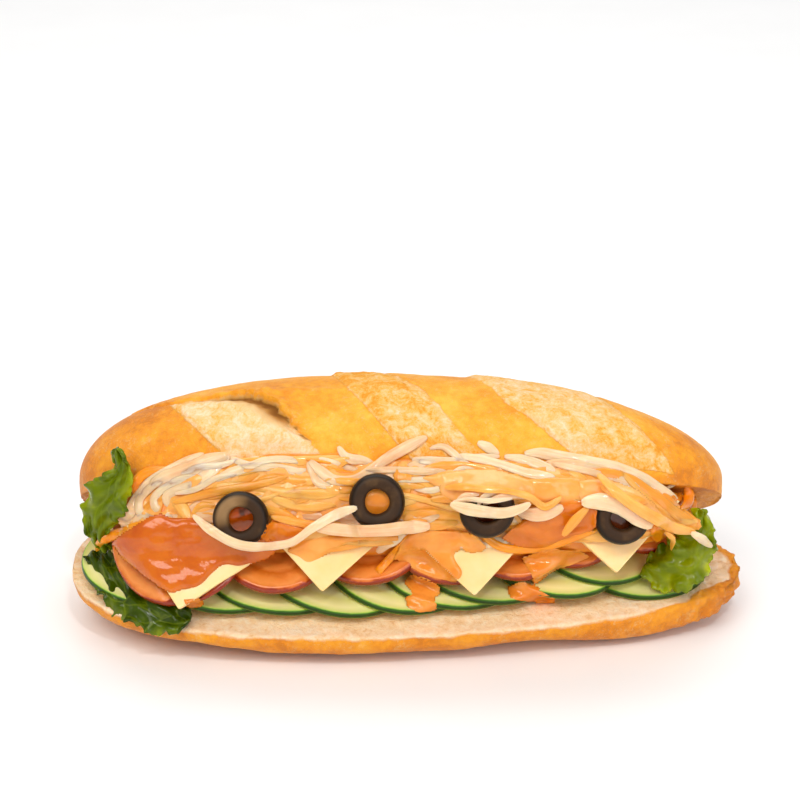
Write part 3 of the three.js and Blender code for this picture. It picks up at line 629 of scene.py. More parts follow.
def bread_lid(count=430, over=170, under=36):
    """The upper half: three slanting slashes burst open along its crown, the left one with a torn
    ear of crust lifted over a hollow whose shade is painted into the dough."""
    s = stations(LID_LEFT, LID_RIGHT, count)[:, None]
    half, up, down, bulge = lid_size(s)
    lowest = np.arcsin(np.minimum(0.995, bulge / down))
    a = mix(-lowest, np.pi + lowest, np.linspace(0, 1, over)[None, :])
    crown = np.clip(np.sin(a), 0, 1)
    climb = np.where(np.cos(a) > 0, np.sin(a), 2 - np.sin(a))
    shift = -SLASH_SLANT * (1 - (np.abs(s) / np.where(s < 0, LID_LEFT, LID_RIGHT)) ** 3) * crown
    x = s + shift
    half_at, up_at, down_at, bulge_at = lid_size(s + shift * SLANT_SHARE)
    plain = np.stack([x, -half_at * np.cos(a),
                      bulge_at + np.where(crown > 0, up_at * crown, down_at * np.sin(a))], -1)
    wander, jag = noise(plain, 5, 21), noise(plain, 2.2, 22)
    facing = smooth(0.0, 0.15, crown) * smooth(-0.75, -0.35, np.cos(a))
    front = 45 * (climb + 0.17) + 1.5 * wander
    lift, hollow, golden = np.zeros((3, *crown.shape))
    slash = np.full(crown.shape, NO_SLASH)
    for number, (left, right) in enumerate(SLASHES):
        left_at, left_share = edge_of(left, climb)
        right_at, right_share = edge_of(right, climb)
        from_left = (x - left_at) * left_share + 0.25 * wander + 0.2 * jag
        from_right = (right_at - x) * right_share + 0.6 * wander + (0.5 if number else 1.1) * jag
        # Behind, each slash runs out in a rounded, uneven end.
        across = (from_left - from_right) / np.maximum(from_left + from_right, 1)
        back = 50 * (1.36 - 0.2 * np.clip(across, -1, 1) ** 2 - climb) + 3.5 * wander
        inside = np.minimum(np.minimum(from_left, from_right), np.minimum(front, back))
        slash = np.maximum(slash, inside)
        golden += SLASH_GOLD[number] * smooth(-0.5, 1.0, inside)
        lift += SLASH_RISE * smooth(-0.3, 2.0, from_left) * smooth(-0.5, 4, from_right)
        lip = smooth(-9, -0.5, from_right) * (1 - smooth(-0.5, 0.1, from_right))
        if number == 0:
            # The ear: a ragged lip, thickest high on the edge, over a hollow in the dough.
            high = smooth(0.15, 0.4, climb) * (1 - smooth(0.72, 0.84, climb)) \
                * smooth(-66, -54, x)
            torn = np.clip(0.75 + 0.9 * jag, 0.1, 1.6)
            lift += lip * (0.5 + high * (1.1 + 1.5 * torn * smooth(-3.5, -0.5, from_right)))
            lift -= 1.7 * high * smooth(7, 1.5, from_right) * smooth(-0.3, 0.6, from_right)
            lift -= 0.9 * (1 - high) * smooth(1.2, 0.4, np.abs(from_right - 0.3))
            # Painted shadow under the ear: how far the dough there is painted tan to brown, kept as
            # hollow.
            hollow += high * smooth(10, 0.6, from_right) * smooth(-0.4, 0.3, from_right)
            # Lower down, where there is no ear, a ragged dark line of painted shade runs along the
            # crack.
            crack = smooth(0.95, 0.35, np.abs(from_right - 0.3)) * smooth(-0.1, 0.25, wander + jag)
            hollow += 0.9 * (1 - high) * crack * smooth(-0.1, 0.05, climb) * (climb < 0.5)
        else:
            lift += EDGE_RISE * lip
    lift = lift * facing
    tears = smooth(-0.2, 0.6, slash) * (0.40 * noise(plain, 5, 23) + 0.30 * noise(plain, 1.7, 24))
    skin = (0.40 * noise(plain, 16, 25) + 0.16 * noise(plain, 4, 26)
            + 0.22 * noise(plain, 1.8, 30) * smooth(60, 95, x))
    grown = 1 + (lift + (tears + skin) * smooth(0, 0.2, crown)) / LID_HALF
    grid = plain.copy()
    grid[..., 1] *= grown
    grid[..., 2] = bulge_at + np.where(crown > 0, up_at * crown * grown, down_at * np.sin(a))

    # The cut face, with its pores, from the hinge side to the front rim.
    share = np.linspace(1, -1, under + 2)[None, 1:-1]
    rim_y, rim_z = half * np.cos(lowest), bulge - down * np.sin(lowest)
    cut = np.stack([s * np.ones_like(share), rim_y * share,
                    rim_z + 0.2 * (1 - np.abs(share)) + 0 * share], -1)
    cut[..., 2] += np.abs(noise(cut, 3, 27)) * 0.7 * (1 - share ** 8)
    grid = np.concatenate([grid, cut], 1)
    drop = fallen(grid[:, :over])
    crumb = np.hstack([0.9 - np.minimum(drop, drop[:, -1:] - drop), np.full((len(s), under), 4.0)])
    crumb += 0.8 * noise(grid, 6, 28) - 9 * smooth(70, 84, np.abs(s))
    end = np.abs(grid[..., 0]) / LID_LEFT
    low = 1 - smooth(-2, 22, grid[..., 2])
    # Darker towards the ends and low down; the extra darkening of the left end is painted shade.
    browning = (0.05 + 0.10 * (grid[..., 0] < 0)) * smooth(0.45, 1.0, end)
    browning = browning + 0.06 * low + 0.10 * noise(grid, 26, 29)
    # Painted shade over the left of the lid, and painted light that pales its middle around x = 12.
    browning += 0.06 * smooth(-20, -90, grid[..., 0])
    browning -= 0.06 * smooth(60, 10, np.abs(grid[..., 0] - 12))
    unseen = np.zeros((len(s), under))
    browning += np.hstack([golden, unseen])
    values = {"crumb_mm": crumb, "slash_mm": np.hstack([slash, unseen + NO_SLASH]),
              "browning": browning, "hollow": np.hstack([hollow * facing, unseen])}
    points, faces = loft(opened(grid), opened(np.array([-LID_LEFT, -4.0, LID_TIP_Z])),
                         opened(np.array([LID_RIGHT, -4.0, LID_TIP_Z])))
    return points, faces, with_ends(values)


BREAD = bread_finish()
for name, (points, faces, values) in (("bread_base", bread_base()), ("bread_lid", bread_lid())):
    piece(name, points, faces, BREAD, ["bread"], values, weld=False)

# ---------------------------------------------------------------- slices


def solid_points(node):
    """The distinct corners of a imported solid, in mm."""
    return np.unique(np.round(points_of(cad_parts[node].data), 3), axis=0)


def disc_grid(radius, thick, around, rings, soft):
    """A round slice as rings of points: out over its top, round its softened rim and back."""
    out = radius * np.sin(np.linspace(0, 1, rings + 1)[1:] * np.pi / 2) - soft
    bend = np.linspace(np.pi / 2, -np.pi / 2, 7)
    r = np.r_[out[:-1] * (radius - soft) / out[-1], radius - soft + soft * np.cos(bend)]
    z = np.r_[np.full(rings - 1, thick / 2), thick / 2 * np.sin(bend)]
    r, z = np.r_[r, r[:rings - 1][::-1]], np.r_[z, -z[:rings - 1][::-1]]
    a = np.linspace(0, 2 * np.pi, around, endpoint=False)
    return np.stack([r[:, None] * np.cos(a), r[:, None] * np.sin(a),
                     z[:, None] * np.ones(around)], -1)


CUCUMBER = cucumber_finish()
for number in range(1, 11):
    name = f"cucumber_{number}"
    corners = solid_points(name)
    middle = corners.mean(0)
    _, _, axes = np.linalg.svd(corners - middle)
    normal = axes[2] * np.sign(axes[2, 2])
    across = np.cross([0, 1, 0], normal)
    across /= np.linalg.norm(across)
    ahead = np.cross(normal, across)
    radius = np.linalg.norm((corners - middle) @ np.stack([across, ahead], 1), axis=1).max()
    rings = disc_grid(radius, CUCUMBER_THICK, around=96, rings=16, soft=0.45)
    angle = np.arctan2(rings[..., 1], rings[..., 0])
    reach = np.hypot(rings[..., 0], rings[..., 1])
    round_off = 1 + 0.010 * np.sin(2 * angle + number) + 0.006 * np.sin(5 * angle + 2.1 * number)
    flutter = 0.16 * np.sin(3 * angle + number * 1.7) * (reach / radius) ** 2
    x, y, z = rings[..., 0] * round_off, rings[..., 1] * round_off, rings[..., 2] + flutter
    grid = middle + x[..., None] * across + y[..., None] * ahead + z[..., None] * normal
    points, faces = loft(grid, middle + normal * CUCUMBER_THICK / 2,
                         middle - normal * CUCUMBER_THICK / 2)
    # Across, ahead, and how far in from the peel: the peel is dark a little way on to the face.
    wall = CUCUMBER_THICK / 2 - np.abs(rings[..., 2])
    inwards = np.where(wall > 0.02, 0.55 - 1.1 * wall, 0.55 + radius - reach)
    disc = np.stack([rings[..., 0] + 40 * number, rings[..., 1], inwards], -1).reshape(-1, 3)
    ends = np.array([[40.0 * number, 0, radius]])
    piece(name, points, faces, CUCUMBER, [name],
          {"disc": np.vstack([ends, disc, ends])}, weld=False)

# Each tomato slice tucks its left side behind its neighbour.
TOMATOES = (
    # x, y, z of the lowest point, radius, lean, yaw, roll
    (-71, -37, 21.8, 25, 46, -8, -14),
    (-40, -36, 25.6, 19, 32, -4, 0),
    (-13, -31.5, 25.8, 19, 32, -7, 0),
    (13, -31.5, 26, 19, 34, -6, 3),
    (34, -28.5, 26, 18, 32, -7, 0),
    (53, -21.5, 26.6, 18, 32, -2, 0),
    (78, -13.5, 27.4, 17, 34, 2, 4),
)
CHEESES = (
    # x, y, z of the lower corner, side, lean, yaw, turn in its own plane
    (-69, -39.2, 21.8, 31, 58, -4, -10),
    (-25, -36.8, 26.8, 30, 60, 2, -4),
    (22, -36.8, 25.4, 30, 60, 0, 2.5),
    (66, -32, 30.7, 30, 60, 6, 0),
)


def behind_cheese(points, clearance):
    """Points that would stand in front of a square of cheese are moved straight back behind it."""
    for x, y, z, side, lean, yaw, turn in CHEESES:
        u, v, n = turned(np.eye(3), lean=lean, yaw=yaw, place=(0, 0, 0))
        n = n if n[1] > 0 else -n
        away = points - np.array([x, y, z])
        c, s = math.cos(math.radians(turn)), math.sin(math.radians(turn))
        along, up = away @ (c * u + s * v), away @ (c * v - s * u)
        wide = side / math.sqrt(2)
        within = np.minimum(up, 2 * wide - up) - np.abs(along)
        depth = away @ n
        pressed = clearance + 4 * np.exp(np.minimum(0, (depth - clearance - 4) / 4))
        share = smooth(-2.5, -0.4, within) * (np.abs(depth) < 14) * (depth < clearance + 4)
        points = points + ((pressed - depth) / n[1] * share)[:, None] * np.array([0, 1, 0])
    return points


TOMATO = tomato_finish()
for number, (x, y, z, radius, lean, yaw, roll) in enumerate(TOMATOES, 1):
    thick = TOMATO_THICK - (0 if number == 1 else THINNER)
    rings = disc_grid(radius, thick, around=80, rings=14, soft=1.3)
    angle = np.arctan2(rings[..., 1], rings[..., 0])
    reach = np.hypot(rings[..., 0], rings[..., 1])
    rings[..., :2] *= (1 + 0.012 * np.sin(3 * angle + number))[..., None]
    rings[..., 2] += 0.25 * np.sin(2 * angle + number) * (reach / radius) ** 2
    rim = radius - reach + np.where(np.abs(rings[..., 2]) < thick / 2 - 0.35, -1.0, 0)
    place = dict(roll=roll, lean=lean, yaw=yaw, place=(x, y, z))
    ends = turned([[0, radius, thick / 2], [0, radius, -thick / 2]], **place)
    points, faces = loft(turned(rings + [0, radius, 0], **place), ends[0], ends[1])
    points = behind_cheese(points, CHEESE_THICK / 2 + 0.5)
    piece(f"tomato_{number}", points, faces, TOMATO, [f"tomato_{number}"],
          {"rim_mm": np.r_[radius, rim.ravel(), radius]}, weld=False)

CHEESE = cheese_finish()
for number, (x, y, z, side, lean, yaw, turn) in enumerate(CHEESES, 1):
    wide = side / math.sqrt(2)
    v = np.r_[np.linspace(0, 1, 14)[:-1] ** 2 * 0.2, np.linspace(0.2, 1.12, 44)][1:, None] * wide
    reach = np.where(v < wide, np.sqrt(v * v + 0.8 * v), mix(wide, wide * 0.82,
                                                             (v / wide - 1) / 0.12))
    u = np.sin(np.linspace(-1, 1, 49) * np.pi / 2)[None, :] * reach
    droop = 0.5 * np.sin(u / wide * 2 + number) + 0.35 * np.sin(v / wide * 3 + 2 * number)
    sheet = turned(np.stack([u, v * np.ones_like(u), droop], -1), yaw=turn)
    grid = turned(sheet, lean=lean, yaw=yaw, place=(x, y, z))
    points, faces = pillow(grid, CHEESE_THICK, soft=0.45)
    piece(f"cheese_{number}", points, faces, CHEESE, [f"cheese_{number}"])

OLIVES = (
    # x, y, z of the middle, lean, yaw, how tan its upper left is
    (-49.6, -34.2, 50.7, 67, -4, 0.75),
    (-8, -33, 56, 66, 2, 0.12),
    (25.6, -34, 53.6, 70, 4, 0.08),
    (67.2, -30.8, 49.4, 70, 8, 0.15),
)
OLIVE = olive_finish()
for number, (x, y, z, lean, yaw, paler) in enumerate(OLIVES, 1):
    half = OLIVE_THICK / 2
    # Radius and height round the section, and how far each point is cut flesh and not skin.
    profile = np.array([
        (OLIVE_HOLE_R, -half + 0.9), (OLIVE_HOLE_R + 0.35, -half + 0.3), (OLIVE_HOLE_R + 1, -half),
        (OLIVE_R - 1.9, -half), (OLIVE_R - 1.2, -half + 0.12), (OLIVE_R - 0.75, -half + 0.6),
        (OLIVE_R - 0.2, -half + 1.5), (OLIVE_R, 0), (OLIVE_R - 0.2, half - 1.5),
        (OLIVE_R - 0.75, half - 0.6), (OLIVE_R - 1.2, half - 0.12), (OLIVE_R - 1.9, half),
        (OLIVE_HOLE_R + 1, half), (OLIVE_HOLE_R + 0.35, half - 0.3), (OLIVE_HOLE_R, half - 0.9),
        (OLIVE_HOLE_R - 0.15, 0)])
    skin = np.array([1, 1, 1, 1, 0.5, 0, 0, 0, 0, 0, 0.5, 1, 1, 1, 1, 1.0])
    a = np.linspace(0, 2 * np.pi, 80, endpoint=False)[:, None]
    hole_bend = 1 + 0.03 * np.sin(3 * a + number) * (profile[:, 0] < OLIVE_HOLE_R + 1.2)
    r = profile[:, 0] * hole_bend * (1 + 0.012 * np.sin(2 * a + 2 * number))
    grid = np.stack([r * np.cos(a), r * np.sin(a), profile[:, 1] + 0 * a], -1)
    grid = turned(grid, lean=lean, yaw=yaw, place=(x, y, z))
    loop = np.concatenate([grid, grid[:1]])
    piece(f"olive_{number}", loop.reshape(-1, 3),
          [grid_faces(len(loop), len(profile), ring=True)], OLIVE, [f"olive_{number}"],
          {"cut": np.tile(skin, len(loop)),
           "tan": np.repeat(mix(0.1, paler, smooth(1.5, 0.3, np.abs(np.r_[a[:, 0], a[:1, 0]]
                                                                 - 2.4))), len(profile))})

# ---------------------------------------------------------------- lettuce

LEAVES = {
    "lettuce_left": dict(
        spine=((-94, -13, 28), (-96, -18, 36), (-95, -20, 44), (-91.5, -21, 52), (-87, -21, 60),
               (-88.5, -20, 68.5)),
        face=(-0.15, -0.9, 0.4), widths=(8, 5, 13, 15, 6, 4), ruffle=1.5, waves=2.6, phase=0.4,
        bright=0.30),
    "lettuce_front_left": dict(
        spine=((-99.5, -6, 24.5), (-94, -17, 22.6), (-86, -27, 19.6), (-76, -34, 17.6),
               (-65.5, -36.5, 16.2)),
        face=(-0.15, -0.55, 0.8), widths=(6, 11, 15, 14, 9), ruffle=1.7, waves=3.4, phase=1.7,
        bright=0.05),
    "lettuce_right": dict(
        spine=((77, -15, 24), (82.5, -19.5, 25.5), (88, -20.5, 28), (92, -19, 32.5),
               (94, -17.5, 39), (93, -17, 45.5)),
        face=(0.15, -0.8, 0.6), widths=(8, 15, 18, 14, 7, 3.5), ruffle=2.2, waves=3.0, phase=2.6,
        bright=0.42),
}
LEAF_THICK = 0.75


def leaf_sheet(spine, face, widths, ruffle, waves, phase, bright, rows=130, cols=61):
    """A frilled leaf: a midrib, a blade that waves more towards its toothed margins."""
    path = even(spline(spine, 300), 0.2)
    path = path[np.linspace(0, len(path) - 1, rows).round().astype(int)]
    path = np.stack([np.convolve(np.r_[[c[0]] * 6, c, [c[-1]] * 6], np.ones(13) / 13, "valid")
                     for c in path.T], 1)
    u = np.linspace(0, 1, rows)[:, None]
    v = np.linspace(-1, 1, cols)[None, :]
    half = np.interp(u[:, 0] * (len(widths) - 1), range(len(widths)), widths)[:, None] / 2
    ends = np.sqrt(1 - np.clip(1 - u / 0.05, 0, 1) ** 2) * np.sqrt(
        1 - np.clip(1 - (1 - u) / 0.08, 0, 1) ** 2)
    half = half * np.maximum(ends, 0.08)
    forward = np.gradient(path, axis=0)
    forward /= np.linalg.norm(forward, axis=1, keepdims=True)
    face = np.array(face, float) / np.linalg.norm(face)
    side = np.cross(forward, face)
    side /= np.linalg.norm(side, axis=1, keepdims=True)
    normal = np.cross(forward, side)
    edge = np.abs(v) ** 1.5
    wave = np.sin(phase + u * waves * 2 * np.pi + np.where(v > 0, 1.3, 0))
    ripple = np.sin(phase * 2 + u * waves * 5.2 * np.pi + np.where(v > 0, 2.1, 0) + 1.4 * v)
    crimp = np.sin(phase * 5 + u * waves * 12.5 * np.pi + np.where(v > 0, 0.7, 0))
    offset = ruffle * edge * wave + 0.22 * half * (v * v - 0.5)
    offset = offset + 0.55 * ruffle * np.abs(v) ** 2.2 * ripple
    offset = offset + 0.22 * ruffle * np.abs(v) ** 4 * crimp
    offset = offset + 0.75 * np.sin(v * 5 + u * 13 + phase) * (1 - 0.6 * edge)
    offset = offset + 0.45 * np.sin(v * 9 - u * 21 + 2 * phase) * (1 - 0.5 * edge)
    frill = 1 + 0.09 * edge * np.sin(phase * 3 + u * waves * 13)
    tooth = np.abs(v) ** 6 * (0.06 * np.sin(u * waves * 29 + phase * 7 + 3 * (v > 0))
                              + 0.03 * np.sin(u * waves * 61 + phase))
    grid = path[:, None] + side[:, None] * (v * half * (frill + tooth))[..., None] \
        + normal[:, None] * offset[..., None]
    tone = bright + 0.20 * wave * edge + 0.14 * edge + 0.12 * ripple * edge - 0.06
    length = np.linalg.norm(np.diff(path, axis=0), axis=1).sum()
    blade = np.stack([np.abs(v) * np.ones_like(u) + 4 * (v > 0) + phase,
                      u * length / 12 + 0.35 * np.abs(v), tone], -1)
    return grid, blade


LETTUCE = lettuce_finish()
for name, spec in LEAVES.items():
    grid, blade = leaf_sheet(**spec)
    points, faces = pillow(grid, LEAF_THICK, soft=0.6)
    piece(name, points, faces, LETTUCE, [name],
          {"blade": np.vstack([blade.reshape(-1, 3)] * 2)})

# ---------------------------------------------------------------- the heap of shreds

CELL = 0.5                                      # the height map's pitch
PROBE_FROM = 140                                # mm out in front, clear of everything
MAP_X, MAP_U = (-106.0, 106.0), (-14.0, 70.0)   # along the loaf, and up the front


def wall_y(x, z):
    """Where the front of the heap stands: it bends back towards the ends of the loaf."""
    levels, depths = zip(*WALL)
    return np.interp(z, levels, depths) + HEAP_BEND * np.abs(x / 100) ** 4


def heap_core(back=5.0):
    """A plump core that the shreds lie on, back mm inside the front of the heap."""
    x = stations(HEAP_LEFT - 3, HEAP_RIGHT - 3, 90)[:, None]
    end = np.abs(x) / np.where(x < 0, HEAP_LEFT, HEAP_RIGHT)
    k = (1 - end ** 5) ** 0.5
    top = mix(HEAP_TOP, HEAP_TOP_AT_ENDS, np.minimum(1, np.abs(x / 98) ** 3)) - 1
    t = np.linspace(0, 1, 24)[None, :]
    z = mix(HEAP_LOW + 1.0, top, t)
    front = np.stack([x + 0 * t, wall_y(x, z) + back + (1 - k) * 14, z], -1)
    points = [front]
    for y, height in ((wall_y(x, top) + 10, top - 1), (wall_y(x, top) + 13, top - 8),
                      (mix(-8, 6, k), 38 + 0 * x), (mix(-10, 2, k), HEAP_LOW + 1 + 0 * x)):
        points.append(np.stack([x, y, height], -1))
    rings = np.concatenate(points, 1)
    rings[:, :24] += (0.7 * noise(rings[:, :24], 6, 41))[..., None] * OUT
    return loft(rings, rings[0].mean(0), rings[-1].mean(0))


def surface_of(*objects):
    """The faces of those pieces as one tree that can be probed."""
    points, faces = [], []
    for obj in objects:
        start = len(points)
        points += points_of(obj.data).tolist()
        faces += [[v + start for v in face.vertices] for face in obj.data.polygons]
    return BVHTree.FromPolygons(points, faces)


map_x = np.arange(MAP_X[0], MAP_X[1], CELL)
map_u = np.arange(MAP_U[0], MAP_U[1], CELL)
grid_x, grid_u = np.meshgrid(map_x, map_u)


def probe(tree, heights):
    """Raises the height map to whatever stands under each of its cells."""
    down = Vector(-OUT)
    for i, u in enumerate(map_u):
        for j, x in enumerate(map_x):
            origin = ALONG * x + UP_FRONT * u + OUT * PROBE_FROM
            hit, _, _, distance = tree.ray_cast(Vector(origin), down)
            if hit is not None:
                heights[i, j] = max(heights[i, j], PROBE_FROM - distance)


def up_front(y, z):
    """How far up the front of the heap a point lies in front coordinates."""
    return y * UP_FRONT[1] + z * UP_FRONT[2]


def cap_map():
    """How far out the front of the heap stands at each cell."""
    z = np.linspace(12, 90, 157)
    caps = np.empty((len(map_u), len(map_x)))
    for j, x in enumerate(map_x):
        y = wall_y(x, z)
        caps[:, j] = np.interp(map_u, up_front(y, z), y * OUT[1] + z * OUT[2])
    return caps


def cells(x, u):
    j = np.clip(np.round((x - MAP_X[0]) / CELL).astype(int), 0, len(map_x) - 1)
    i = np.clip(np.round((u - MAP_U[0]) / CELL).astype(int), 0, len(map_u) - 1)
    return i, j


def blurred(values, reach):
    """Values along a strand, evened out over reach samples each way."""
    k = np.hanning(2 * reach + 3)[1:-1]
    return np.convolve(np.pad(values, reach, "edge"), k / k.sum(), "valid")


strands = {"pale": [], "sauced": [], "carrot": []}
STRAND_THICK = {"pale": 0.8, "sauced": 1.0, "carrot": 1.5}
STEP = 0.8                                      # along a strand, from point to point
TIP_WIDE, TIP_LONG = 0.28, 5.5                  # a strand's tip: share of its width, and mm long


def crest(values, reach):
    """The highest of the values within reach samples each way."""
    padded = np.pad(values, reach, "edge")
    return np.max([padded[k:k + len(values)] for k in range(2 * reach + 1)], axis=0)


def lay(kind, wide, places, tone, thick=None, ceiling=None, press=0.45, rise=0.0, clear=0):
    """Lays one strand through places on whatever is already there, and adds it to the map. It
    sinks in among the others unless it is pressed less or told to clear them."""
    path = even(spline(places, 60), STEP)
    n = len(path)
    thick = thick or STRAND_THICK[kind]
    ahead = np.gradient(path, axis=0)
    ahead /= np.maximum(np.linalg.norm(ahead, axis=1, keepdims=True), 1e-6)
    over = np.stack([-ahead[:, 1], ahead[:, 0]], 1)
    t = np.linspace(0, 1, n)
    taper = TIP_WIDE + (1 - TIP_WIDE) * np.sqrt(
        np.clip(np.minimum(t, 1 - t) * n * STEP / TIP_LONG, 0, 1))
    taper = taper * (1 + 0.10 * np.sin(t * n * STEP / 6 + tone * 40))
    offsets = np.linspace(-0.5, 0.5, max(3, int(wide / 0.45)))
    at = path[:, None] + over[:, None] * (offsets[None, :] * wide * taper[:, None])[..., None]
    i, j = cells(at[..., 0], at[..., 1])
    under = heights[i, j]
    slope = ((under - under.mean(1, keepdims=True)) * offsets).sum(1) / (offsets ** 2).sum() / wide
    slope = blurred(np.clip(slope, -0.7, 0.7), 5) * 0.7
    carried = mix(under.mean(1), under.max(1), press)
    if clear:
        carried = blurred(crest(carried, clear), clear)
    else:
        carried = np.maximum(blurred(carried, 3), blurred(carried, 7))
    level = carried + thick * 0.42 + rise * np.sin(np.pi * t)
    if ceiling is not None:
        i0, j0 = cells(path[:, 0], path[:, 1])
        level = np.minimum(level, blurred(ceiling[i0, j0], 5) - thick / 2)
    surface = level[:, None] + slope[:, None] * offsets * wide * taper[:, None] + thick * 0.4
    heights[i, j] = np.maximum(heights[i, j], surface)
    middle = path[:, :1] * ALONG + path[:, 1:] * UP_FRONT + level[:, None] * OUT
    facing = OUT - slope[:, None] * (over[:, :1] * ALONG + over[:, 1:] * UP_FRONT)
    facing /= np.linalg.norm(facing, axis=1, keepdims=True)
    strands[kind].append((middle, facing, wide * taper, tone))


